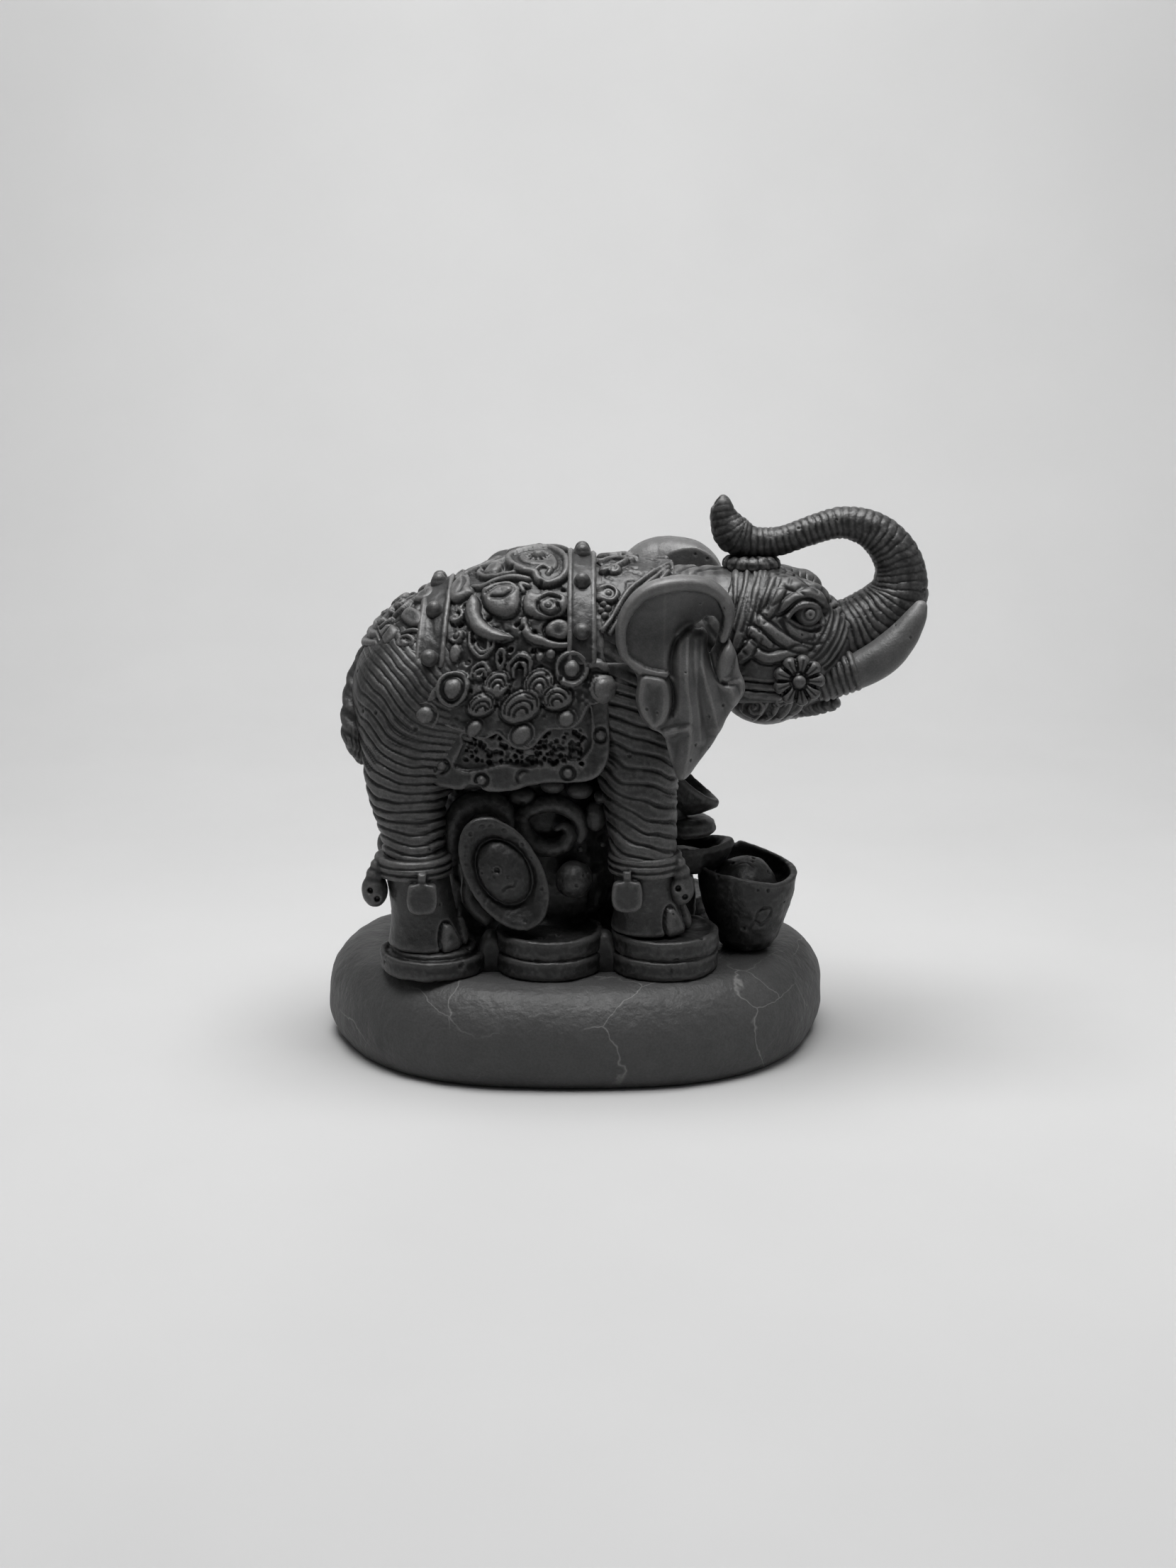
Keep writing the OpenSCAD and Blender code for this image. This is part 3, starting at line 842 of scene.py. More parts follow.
def tag_centre(node):
    """The tag's x: the middle of the points that stand furthest out, well below the rings."""
    co = node_points(node)
    proud = co[co[:, 1] < co[:, 1].min() + 0.5]
    return (proud[:, 0].min() + proud[:, 0].max()) / 2


def side_grid(x, z):
    """The grid of a block in side view, from its window."""
    u, v = np.broadcast_arrays(x[:, :, 0], z[0])
    return u.astype(float), v.astype(float)


def slab(outline, middle, half, rounding=0.5):
    """A flat plate in the XZ plane with rounded edges."""
    outline = np.asarray(outline, float)

    def distance(x, y, z):
        u, v = side_grid(x, z)
        flat = outline_distance(u - middle[0], v - middle[2], outline)[:, None, :]
        return smooth_max(flat + 0 * y, np.abs(y - middle[1]) - half + 0 * flat, rounding * 2)

    return distance


def build_anklets():
    for node, bell_side in (("anklet_front", 1), ("anklet_rear", -1)):
        skin = anklet_skin(node + "_right", bell_side)
        rough_cast(skin, 0.06, 1.6, 8.0)
        set_pair(node, skin, "cast_harness")


# ---- torso and head ----


def build_body():
    lo, hi = ends("body")
    clay = Clay(lo - 1.2, hi + 1.2, 0.5)
    skin = clay.add(barrel_form()).add(neck_form(), 3.0).mesh()
    x, y, z = skin.points.T
    t = (x * 0.5 + z * 0.35 + np.abs(y) * 0.25) / 2.6
    wrinkle(skin, t, 0.6, np.ones(len(x)), 0.15, 0.8, 9.0, 12.0)
    rough_cast(skin, 0.08, 2.4, 13.0)
    set_piece("body", skin, "cast_skin")


def build_tail():
    lo, hi = ends("tail")
    balls = [
        (lo[0] + 7.8, 0, hi[2] - 3, 3.0),
        (lo[0] + 3.8, -3, hi[2] - 10, 2.6),
        (lo[0] + 2.6, -7, hi[2] - 17, 2.6),
        (lo[0] + 3.3, -9, hi[2] - 24, 3.0),
        (lo[0] + 4.8, -9, hi[2] - 29, 1.9),
    ]
    clay = Clay(lo - 1.5, hi + (6, 2, 2), 0.28)
    clay.tube(balls)
    for turn in range(3):
        strand = []
        for i, (bx, by, bz, r) in enumerate(curve(balls, 8)):
            a = i * 0.42 + turn * 2 * math.pi / 3
            strand.append((bx + 0.6 * r * math.cos(a), by + 0.6 * r * math.sin(a), bz, r * 0.58))
        clay.tube(strand[::2], 0.15)
    skin = clay.mesh()
    x, y, z = skin.points.T
    hair = smooth_step((hi[2] - 20 - z) / 4)
    skin.push(-0.35 * hair * (1 - creases((x + 0.7 * y) / 1.1 + 0.3 * noise(skin.points, 3, 4), 0.6)))
    rough_cast(skin, 0.06, 1.4, 15.0)
    set_piece("tail", skin, "cast_skin")


def mirrored_relief(skin, draw):
    """Draws the same relief on both sides, in side view, on surfaces that face sideways."""
    n = skin.normals()
    facing = smooth_step((np.abs(n[:, 1]) - 0.12) / 0.25)
    for side in (-1.0, 1.0):
        weight = facing * (skin.points[:, 1] * side > 0) * (n[:, 1] * side > 0)
        draw(side_chart(skin, weight))
    skin.chase()


def head_folds(c):
    rolls = [
        [(39.5, 123.5), (39.0, 119), (37.5, 113.5)],
        [(41.8, 122.8), (41.0, 118), (40.0, 112.5), (38.6, 108)],
        [(44.2, 121.6), (42.6, 116), (40.6, 110.5), (38.4, 104)],
        [(46.0, 121.4), (44.0, 117), (42.4, 112.5), (42.2, 109.5)],
        [(48.2, 120.6), (46.2, 116.6), (44.4, 113)],
        [(50.4, 119.4), (48.2, 115.6), (46.6, 112.6), (44.2, 110.4)],
        [(47.2, 118.4), (50.2, 118.9), (53.4, 118.0), (56.4, 116.4)],
        [(49.0, 121.0), (52.4, 121.0), (55.6, 119.6), (58.6, 117.6)],
        [(47.6, 112.2), (50.0, 113.6), (52.6, 115.2), (55.6, 116.2), (58.2, 115.4), (60.0, 112.6)],
        [(41.4, 111.6), (44.1, 109.8), (48.4, 106.6), (53.2, 103.9), (57.6, 103.9)],
        [(40.4, 107.8), (43.0, 107.2), (46.4, 104.6)],
        [(40.6, 104.6), (43.2, 102.6), (46.2, 101.4), (50.6, 102.2), (53.4, 102.8), (56.2, 101.4)],
        [(50.4, 110.4), (52.4, 107.4), (56.4, 105.7), (59.6, 106.0), (60.4, 108.6)],
        [(62.0, 113.4), (62.6, 110.2), (61.0, 106.2), (58.2, 102.6), (56.0, 100.6)],
        [(63.9, 113.8), (64.2, 110.2), (62.6, 106.0), (59.6, 101.6), (57.6, 99.8)],
        [(65.8, 113.8), (65.7, 109.2), (63.6, 104.4), (60.6, 100.4), (59.4, 99.2)],
        [(60.2, 112.8), (60.9, 110.4), (59.6, 106.8), (57.4, 103.4)],
        [(36.6, 118.5), (36.2, 113.5), (35.4, 109.5)],
        [(39.2, 100.8), (41.4, 103.4), (43.2, 106.6)],
    ]
    for line in rolls:
        c.ridge(line, 1.7, 0.85, 0.45)
        c.groove_beside(line, 1.45, 0.55, 0.42)


def eye_relief(c):
    c.hollow(c.disc((55.9, 111.1), 4.4, 0.72), 1.5, 3.2)
    upper = [(50.6, 110.8), (53.0, 113.0), (55.6, 113.6), (57.8, 112.6), (59.0, 110.2), (59.2, 108.6)]
    lower = [(50.6, 110.5), (52.8, 109.2), (55.4, 108.3), (57.6, 108.4), (59.2, 108.8)]
    c.ridge(upper, 1.15, 2.1, 0.3)
    c.ridge(lower, 0.9, 1.4, 0.3)
    c.groove([(50.4, 112.2), (53.0, 114.5), (56.0, 115.0), (58.8, 113.6)], 0.5, 0.9, 0.4)


def jaw_relief(c):
    for i in range(4):
        x = 43.6 + 3.1 * i
        c.ridge([(x, 84.6 + 0.4 * i), (x + 1.6, 87.2), (x + 2.8, 90.4)], 0.8, 0.7, 0.3)
        c.groove([(x + 1.2, 84.8), (x + 2.8, 87.4), (x + 4.0, 90.4)], 0.45, 0.7, 0.3)
    for c0, r, start in (((43.5, 88.6), 2.9, 200), ((49.6, 90.6), 1.8, 40)):
        c.plate(c.disc(c0, r + 0.6), 0.5, 0.8)
        c.scroll(c0, r, 1.3, start, -1.0, 0.62, 1.1)
    for spot in ((40.2, 92.6), (41.4, 91.2), (40.0, 90.0), (46.6, 92.4), (47.4, 86.6)):
        c.pit(spot, 0.5, 0.8)


def forehead(skin):
    """Creases across the brow and crown, seen from the front and above."""
    x, y, z = skin.points.T
    front = smooth_step((x - 47) / 6.0) * smooth_step((9.5 - np.abs(y)) / 4.0) * smooth_step((z - 104) / 4.0)
    t = (x * 0.75 - z * 0.62 + 0.02 * y * y) / 2.1
    wrinkle(skin, t, 0.65, front, 0.17, 0.35, 6.0, 21.0)
    sides = np.exp(-((np.abs(y) - 8.5) / 2.2) ** 2)
    ridge = sides * smooth_step((z - 111) / 6.0) * smooth_step((x - 44) / 4.0)
    skin.push(0.9 * ridge)


def build_head():
    lo, hi = ends("head")
    clay = Clay(lo - 1.5, hi + 1.8, 0.33)
    clay.add(head_form())
    for side in (-1, 1):
        clay.add(egg((52.5, side * (head_y - 6.5), crown_top - 7.0), (8.5, 5.0, 4.2)), 3.5)
        clay.add(egg((47.0, side * (head_y - 3.2), crown_top - 19.5), (8.0, 4.0, 7.0)), 3.5)
    skin = clay.mesh()
    forehead(skin)

    def draw(c):
        head_folds(c)
        eye_relief(c)
        jaw_relief(c)

    mirrored_relief(skin, draw)
    rough_cast(skin, 0.07, 1.8, 16.0)
    pinholes(skin, 40, 17, (0.2, 0.4), 0.4)
    set_piece("head", skin, "cast_skin")


def build_eyes():
    ball = np.array((55.7, low("eye_right")[1] + 3.7, centre("eye_right")[2] - 0.6))
    clay = Clay(ball - 4.4, ball + 4.4, 0.2)
    skin = clay.add(egg(ball, (3.4, 3.4, 3.3))).mesh()
    front = (skin.points[:, 1] < ball[1]).astype(float)
    chart = side_chart(skin, front)
    iris = (ball[0] + 0.4, ball[2] + 0.1)
    chart.seam(chart.disc(iris, 1.55), 0.28, 0.35)
    chart.dome(iris, 1.2, 0.45)
    chart.pit(iris, 0.35, 0.3)
    skin.chase()
    set_pair("eye", skin, "cast_polished")


# ---- trunk, tusks, mouth ----


def trunk_balls():
    top = head_top
    return [
        (64, 0, top - 19, 9.5), (72, 0, top - 15, 9.0), (78.5, 0, top - 8.5, 7.5),
        (79.4, 0, top - 1.5, 6.2), (76.8, 0, top + 4.5, 5.5), (71.5, 0, top + 9, 4.6),
        (64.5, 0, top + 10.5, 3.9), (57, 0, top + 8.5, 3.6), (50, 0, top + 6.1, 3.5),
        (43.5, 0, top + 5.7, 3.9), (38.4, 0, top + 7.4, 4.3), (36.2, 0, top + 11.4, 3.5),
        (35.5, 0, top + 14.8, 2.2),
    ]


def run_along(line):
    """Length from the start of a line to each of its points."""
    return np.concatenate([[0], np.cumsum(np.linalg.norm(np.diff(line[:, :3], axis=0), axis=1))])


def ring_pitch(thick):
    """Width of one ring of the trunk, wider where the trunk is thicker."""
    return 1.35 + 0.075 * thick


def along_limb(points, balls):
    """For each point: length along the limb, the nearest point of its middle line, and that line."""
    line = curve(balls, 20)
    run = run_along(line)
    nearest = np.zeros(len(points), int)
    for start in range(0, len(points), 8000):
        block = points[start : start + 8000]
        d = np.linalg.norm(block[:, None, :] - line[None, :, :3], axis=2)
        nearest[start : start + 8000] = np.argmin(d, axis=1)
    step = np.gradient(line[:, :3], axis=0)
    step /= np.linalg.norm(step, axis=1, keepdims=True)
    offset = np.einsum("ij,ij->i", points - line[nearest, :3], step[nearest])
    return run[nearest] + offset, nearest, line


def build_trunk():
    lo, hi = ends("trunk")
    balls = trunk_balls()
    clay = Clay(lo - 2.0, hi + 2.0, 0.3)
    clay.tube(balls)
    tip = balls[-1]
    clay.add(egg((tip[0] + 0.3, 0, tip[2] - 1.2), (2.2, 3.0, 3.6)), 1.2)
    clay.add(egg((balls[-3][0] + 0.5, 0, balls[-3][2] + 0.5), (4.2, 4.8, 4.4)), 1.5)
    skin = clay.cut(egg((tip[0] - 1.4, 0, tip[2] + 1.4), (1.1, 1.6, 2.4)), 0.6).mesh()
    s, nearest, line = along_limb(skin.points, balls)
    thick = line[nearest, 3]
    length = run_along(line)
    turns = np.concatenate([[0], np.cumsum(np.diff(length) / ring_pitch(line[1:, 3]))])
    t = turns[nearest] + (s - length[nearest]) / ring_pitch(thick)
    t = t + 0.30 * noise(skin.points, 5.0, 31) + 0.16 * noise(skin.points, 2.2, 32)
    depth = np.interp(thick, [2, 4, 9.5], [0.36, 0.56, 0.86])
    skin.push((creases(t, 0.36) - 1.0) * depth * (0.7 + 0.5 * noise(skin.points, 6.0, 35)))
    rough_cast(skin, 0.10, 1.5, 33)
    pinholes(skin, 40, 34, (0.2, 0.4), 0.35)
    set_piece("trunk", skin, "cast_skin")


def build_tusks():
    top = head_top
    balls = [
        (61.5, -8.8, top - 26.6, 3.6), (66, -9.3, top - 25.3, 4.1), (70.5, -9.6, top - 23.2, 4.5),
        (75, -9.8, top - 20.2, 4.5), (79, -9.5, top - 16, 3.8), (82, -9, top - 11.5, 2.7),
        (83.3, -8.6, top - 8.8, 1.7),
    ]
    lo, hi = ends("tusk_right")
    clay = Clay(lo - (4, 1.5, 1.5), hi + 1.5, 0.34)
    skin = clay.tube(balls).mesh()
    rough_cast(skin, 0.05, 4.0, 41)
    pinholes(skin, 10, 42, (0.2, 0.35), 0.3)
    set_pair("tusk", skin, "cast_polished")


def build_sheaths():
    lo, hi = ends("tusk_sheath_right")
    clay = Clay(lo - 2.0, hi + 2.0, 0.27)
    top = head_top
    root = np.array((59.0, -9.0, top - 27.0))
    lean = math.radians(90 - 18.4)
    forward = np.array((math.sin(lean), 0, math.cos(lean)))
    across = np.array((math.cos(lean), 0, -math.sin(lean)))
    side = np.array((0, 1.0, 0))
    outer = []
    for i in range(6):
        z = i * 1.62
        outer += [(4.75, z), (5.15, z + 0.3), (5.3, z + 0.8), (5.15, z + 1.3)]
    profile = [(0.0, -1.0), (4.6, -1.0)] + outer + [(4.5, 9.9), (0.0, 9.9)]
    skin = clay.add(turned([across, side, forward], root, lathe(profile, (0, 0, 0), 3.0))).mesh()
    rough_cast(skin, 0.08, 1.6, 44)
    set_pair("tusk_sheath", skin, "cast_skin")


def build_lip():
    lo, hi = ends("lower_lip")
    clay = Clay((lo[0] - 1, -8.5, lo[2] - 2), (66.5, 8.5, hi[2] + 4), 0.28)
    clay.tube([(47, 0, head_top - 33, 6.2), (53, 0, head_top - 32.6, 5.8)])
    for side in (-1, 1):
        edge = [(53, 2.5, 88.0, 4.6), (58.5, 4.4, 87.0, 2.6), (62.8, 4.2, 87.2, 1.8), (64.0, 2.0, 87.0, 1.6)]
        clay.tube([(x, side * y, z, r) for x, y, z, r in edge], 0.6)
    skin = clay.add(egg((57.5, 0, 87.0), (6.0, 4.0, 1.4)), 0.6).mesh()
    x, y, z = skin.points.T
    t = (x + 0.3 * z + 0.05 * y * y) / 2.0
    wrinkle(skin, t, 0.4, np.ones(len(x)), 0.18, 0.4, 5.0, 45.0)
    set_piece("lower_lip", skin, "cast_skin")


def build_crown_pad():
    lo, hi = ends("crown_pad")
    mid = (lo + hi) / 2
    clay = Clay(lo - (1.5, 1.5, 3), hi + 1.5, 0.28)
    h = hi[2] - lo[2]
    profile = [
        (0, -3), (6.4, -3), (6.7, h - 3.4), (7.2, h - 2.6), (7.0, h - 1.2), (6.3, h - 0.4), (5.6, h), (0, h)
    ]
    skin = clay.add(lathe(profile, (mid[0], 0, lo[2]), 3.0)).mesh()
    a = np.arctan2(skin.points[:, 1], skin.points[:, 0] - mid[0])
    skin.push(-0.4 * (1 - creases(a * 7 / math.pi, 0.7)))
    rough_cast(skin, 0.16, 1.3, 47)
    set_piece("crown_pad", skin, "cast_skin")


def build_rosettes():
    c = centre("rosette_right")
    y0 = low("rosette_right")[1] + 0.4
    r = (high("rosette_right")[0] - low("rosette_right")[0]) / 2
    clay = Clay((c[0] - r - 1, y0 - 3.2, c[2] - r - 1), (c[0] + r + 1, y0 + 4.5, c[2] + r + 1), 0.22)
    core = loop([(-4.4, 0), (-3.1, 3.1), (0, 4.4), (3.1, 3.1), (4.4, 0), (3.1, -3.1), (0, -4.4), (-3.1, -3.1)])
    clay.add(slab(core, (c[0], y0 + 2.0, c[2]), 2.6))
    petals = 9
    for i in range(petals):
        a = 2 * math.pi * i / petals
        for t, wide in ((0.42, 1.2), (0.60, 1.75), (0.76, 1.9)):
            spot = (c[0] + r * t * math.cos(a), y0 + 0.7, c[2] + r * t * math.sin(a))
            clay.ball(spot, wide * 0.92, 0.15)
    clay.cut(slab(np.array([(-9, -9), (9, -9), (9, 9), (-9, 9)]), (c[0], y0 - 5.0, c[2]), 3.1), 0.5)
    clay.ball((c[0], y0 - 0.5, c[2]), 1.75, 0.1)
    skin = clay.mesh()
    front = (skin.points[:, 1] < y0 + 0.5).astype(float)
    chart = side_chart(skin, front)
    for i in range(petals):
        a = 2 * math.pi * i / petals
        spoke = [(c[0] + r * k * math.cos(a), c[2] + r * k * math.sin(a)) for k in (0.36, 0.86)]
        chart.groove(spoke, 0.22, 0.3, 0.3, smooth=False)
        a += math.pi / petals
        spoke = [(c[0] + r * k * math.cos(a), c[2] + r * k * math.sin(a)) for k in (0.34, 1.0)]
        chart.groove(spoke, 0.27, 1.0, 0.0, smooth=False)
    chart.seam(chart.disc((c[0], c[2]), 2.1), 0.32, 0.7)
    skin.chase()
    set_pair("rosette", skin, "cast_harness")


def build_bridles():
    lo, hi = ends("bridle_right")
    clay = Clay(lo - (4.5, 0.5, 1.5), (hi[0] + 2.5, lo[1] + 6.5, hi[2] + 2.5), 0.27)
    y = lo[1] + 2.6
    for i in range(4):
        z = hi[2] - 1.0 - i * 2.15
        bend = 0.35 * i
        clay.tube(
            [(lo[0] - 3.2, y + 0.6, z + bend, 0.95), (lo[0] + 1, y - 0.3, z + 0.3, 1.0),
            (hi[0] - 2, y - 0.5, z, 1.0), (hi[0] + 1.0, y - 0.4, z - 0.2, 0.95)]
        )
    flat = np.array([(-7, -5.2), (5.5, -5.2), (5.5, 4.4), (-7, 4.4)])
    skin = clay.add(slab(flat, ((lo[0] + hi[0]) / 2, y + 1.6, (lo[2] + hi[2]) / 2), 1.4), 0.4).mesh()
    rough_cast(skin, 0.08, 1.5, 49)
    set_pair("bridle", skin, "cast_harness")


# ---- ears ----


def ear_lean(u, v):
    """Distance of the ear's plane from the middle plane: it leans in towards the head and downwards."""
    return 31.4 - 0.30 * np.maximum(u - 21.0, 0.0) - 0.05 * np.maximum(100.0 - v, 0.0)


def ear_height(u, v):
    """How far the ear's outer face stands from the middle plane, over the side view."""
    lean = ear_lean(u, v)
    face = lean - 1.6 + 0 * v
    dish = -5.6 * np.exp(-(((u - 29.6) / 7.2) ** 2) - ((v - 109.6) / 7.6) ** 2)
    dish -= 1.1 * np.exp(-(((u - 18) / 6.0) ** 2) - ((v - 109.0) / 7.0) ** 2)
    dish -= 3.4 * np.exp(-(((u - 32.4) / 1.9) ** 2) - ((v - 104.5) / 5.5) ** 2)
    face = face + dish * smooth_step((v - 92.0) / 12.0)

    def ridge(points, w, h, power):
        d, _ = line_distance(u, v, curve(points))
        return h * np.clip(1.0 - d / w, 0.0, 1.0) ** power

    def roll(points, r, lift):
        line = curve([p[:2] for p in points])
        sizes = curve([(p[2], 0.0) for p in points])[:, 0]
        d, along = line_distance(u, v, line)
        r_here = np.interp(along, np.linspace(0, 1, len(sizes)), sizes)
        return np.where(
            d < r_here, lean - 1.9 + lift + np.sqrt(np.clip(r_here**2 - d * d, 0, None)) * r, -99.0
        )

    def crease(points, w, h):
        d, _ = line_distance(u, v, curve(points))
        return h * np.exp(-((d / w) ** 2))

    face = face - crease([(22.6, 99.4), (22.7, 103.6), (24.0, 107.0), (26.4, 109.2), (29.0, 109.6)], 0.7, 1.5)
    right_of = smooth_step((u - 23.2) / 1.6) * smooth_step((110.5 - v) / 3.0)
    face = face + 1.1 * right_of * smooth_step((v - 86) / 8.0)
    main = [
        (26.6, 108.2), (26.4, 103), (26.2, 98), (26.7, 94), (27.3, 90), (27.3, 85), (26.8, 80), (25.8, 74.5)
    ]
    second = [(30.2, 107.6), (30.1, 102), (30.7, 98), (31.8, 94), (32.9, 90), (33.6, 86.4)]
    between = [(28.5, 107.0), (28.4, 101), (28.6, 95), (29.4, 89), (29.8, 83)]
    last = [(32.2, 106.5), (32.8, 102), (34.4, 98.6), (36.6, 95.5), (37.8, 93)]
    for pleat in (
        (main, 3.0, 2.3, 1.25), (second, 2.6, 1.9, 1.25), (between, 1.6, 0.7, 1.1), (last, 2.0, 1.0, 1.1)
    ):
        face = face + ridge(*pleat)
    fork = [(32.4, 108.0), (31.7, 104.5), (32.3, 101), (33.6, 98.4), (35.2, 97.0), (36.8, 96.9)]
    face = face - crease(fork, 0.65, 1.6)
    lobe = [(15.8, 99.2), (19.0, 99.3), (21.6, 98.2), (22.6, 94.4), (22.2, 90.4), (20.4, 87.6), (17.8, 87.2)]
    lobe = outline_distance(u, v, loop(lobe + [(15.4, 90.4), (14.6, 95.0)]))
    face = face + np.where(
        v < 101, 1.7 * smooth_step(0.5 - lobe / 1.5) - 1.0 * smooth_step((-lobe - 1.0) / 2.6), 0.0
    )
    face = face - crease([(21.6, 99.2), (22.9, 96.2), (23.3, 92.8), (22.7, 89.8)], 0.6, 1.6)
    face = face + ridge([(18.4, 86.7), (20.8, 85.5), (24.0, 85.9), (26.6, 86.6)], 1.5, 1.1, 1.2)
    face = face - 1.2 * smooth_step((25.5 - u) / 3.0) * smooth_step((85.0 - v) / 2.0)
    rim = [
        (15.4, 100.9, 1.2), (11.8, 103.6, 1.3), (10.9, 108.6, 1.35), (11.6, 113.0, 1.5), (14.0, 117.2, 1.8)
    ]
    rim += [
        (18.0, 120.0, 2.0), (24.5, 121.0, 2.0), (30.5, 120.2, 1.9), (34.6, 117.4, 1.7), (36.2, 113.4, 1.5)
    ]
    rim += [(35.9, 109.6, 1.2), (34.8, 107.2, 0.9)]
    face = np.maximum(face, roll(rim, 1.15, 0.2))
    flare = [(15.4, 101.0, 0.9), (18.6, 100.1, 0.8), (21.4, 99.7, 0.75)]
    face = np.maximum(face, roll(flare, 1.2, 0.3))
    lip = [(36.6, 97.0, 0.8), (38.9, 97.0, 1.0), (39.4, 95.0, 0.9), (38.6, 93.2, 0.8), (37.6, 91.8, 0.6)]
    face = np.maximum(face, roll(lip, 1.2, 0.6))
    pad = np.sqrt(((u - 35.6 - 0.22 * (v - 101.5)) / 2.1) ** 2 + ((v - 101.8) / 4.9) ** 2)
    face = np.where(pad < 1, np.maximum(face, lean - 2.2 + 2.8 * np.sqrt(np.clip(1 - pad**2, 0, None))), face)
    return face


EAR_OUTLINE = (
    (10.2, 104.6), (9.4, 109.0), (10.1, 113.4), (12.6, 117.9), (16.4, 121.0), (21.0, 122.6), (26.0, 122.9),
    (31.2, 121.9), (35.4, 118.8), (37.6, 114.6), (37.4, 110.4), (36.6, 107.4), (38.2, 103.6), (39.0, 99.6),
    (40.2, 97.0), (40.4, 94.6), (39.0, 92.0), (37.2, 89.6), (35.4, 86.2), (33.2, 82.0), (30.6, 78.6),
    (28.2, 75.6), (26.2, 73.9), (24.4, 73.8), (23.0, 76.4), (21.6, 80.8), (20.4, 85.2), (17.6, 86.6),
    (15.2, 89.6), (14.2, 94.0), (14.6, 98.4), (12.6, 101.6),
)

EAR_SHEEN_LIFT = 0.12  # the ears are painted paler all over, as a painted sheen


def build_ears():
    lo, hi = ends("ear_right")
    clay = Clay(lo - (2.0, 2.2, 2.0), hi + (2.0, 2.0, 3.0), 0.28)
    _, x, y, z = clay.window()
    u, v = side_grid(x, z)
    edge = outline_distance(u, v, loop(EAR_OUTLINE, 3))[:, None, :]
    outer = ear_height(u, v)[:, None, :]
    swell = np.clip(-edge[:, 0, :] / 10.0, 0.0, 1.0)
    deep = 3.0 + 5.0 * smooth_step((v - 92.0) / 12.0)
    inner = (ear_lean(u, v) - 3.0 - deep * np.sqrt(swell * (2.0 - swell)))[:, None, :]
    inner = np.minimum(inner, outer - 1.8)
    front = (-y - outer) * 0.8
    back = (y + inner) * 0.8
    clay.d = smooth_max(smooth_max(front, edge + 0 * y, 1.6), back, 1.6).astype(np.float32)
    skin = clay.mesh()
    rough_cast(skin, 0.05, 2.6, 51)
    pinholes(skin, 26, 52, (0.2, 0.4), 0.4)
    # painted sheen: the ears' tone is lifted paler all over
    skin.sheen_lift = EAR_SHEEN_LIFT
    set_piece("ear_right", skin, "cast_polished")
    far = skin.mirrored()
    far.sheen_lift = EAR_SHEEN_LIFT
    far.points[:, 2] += 1.5 * smooth_step((far.points[:, 2] - 96.0) / 22.0)
    set_piece("ear_left", far, "cast_polished")


# ---- cloths and harness ----


def cloth_region(clay, x0, x1):
    """Keeps the cloth between two places along the body."""
    _, x, y, z = clay.window()
    return clay.trim(np.maximum(x0 - x, x - x1) + 0 * y + 0 * z, 0.5)


def outer_weight(skin, form, lift):
    """1 on the outer face of a cloth, 0 on its underside."""
    p = skin.points
    d = np.concatenate(
        [form(q[:, 0], q[:, 1], q[:, 2]) for q in np.array_split(p, max(len(p) // 20000, 1))]
    )
    return smooth_step((d - lift * 0.45) / (lift * 0.35))


def side_charts(skin, weight, chart=flank_chart):
    """A chart for each side of a piece that passes over the back."""
    u, v = chart(skin.points)
    middle = math.pi / 2 * GIRTH_R
    y = skin.points[:, 1]
    for side in (-1.0, 1.0):
        far_v = np.where(y * side > 0, v, 2 * middle - v)
        yield Chart(skin, u, far_v, weight)


# Scalloped lower edge of the saddle cloth in side view, front to back.
SCALLOPS = (
    (5.0, 92.0), (3.2, 91.4), (1.6, 88.2), (-0.2, 86.4), (-2.4, 85.9), (-5.2, 86.0), (-7.0, 85.2),
    (-8.8, 83.0), (-10.2, 81.6), (-12.4, 81.1), (-14.8, 81.8), (-16.6, 83.5), (-18.2, 84.9),
    (-19.8, 84.2), (-21.8, 83.4), (-24.2, 83.8), (-26.2, 85.0), (-29.0, 86.0), (-31.6, 86.6),
)


def fish_scales(c):
    """Overlapping scales of nested arches above the hem, with beads and deep gaps between them."""
    for x, z, r, squash, lean in (
        (-18.2, 96.4, 3.3, 0.9, -15), (-8.4, 96.9, 3.7, 0.85, 5), (-21.9, 91.6, 3.5, 0.78, -15),
        (-4.2, 93.6, 3.8, 0.8, 25), (-12.6, 91.4, 4.9, 0.8, 0),
    ):
        at = hang(x, z)
        c.pillow(c.disc(at, r, squash), 1.1, 1.2)
        for i in range(3):
            size = r * (0.80 - 0.24 * i)
            a = np.radians(np.linspace(-12, 192, 14) + lean)
            arch = np.stack(
                [at[0] + size * np.cos(a), at[1] - r * 0.14 * i + size * squash * np.sin(a)], axis=1
            )
            c.groove(arch, 0.30, 0.75, 0.1, smooth=False)
        c.seam(c.disc(at, r * 1.04, squash), 0.3, 0.5)
    for x, degrees, r in ((-8.1, 14, 1.0), (-5.6, 15, 1.2), (-22.4, 13, 0.9)):
        c.dome(on_back(x, degrees), r, 1.4)
    for x, z in (
        (-15.6, 94.6), (-15.4, 97.0), (-18.4, 91.6), (-7.6, 91.6), (-6.4, 98.6), (-24.6, 94.6), (-3.4, 97.6)
    ):
        c.pit(hang(x, z), 0.6, 1.0)


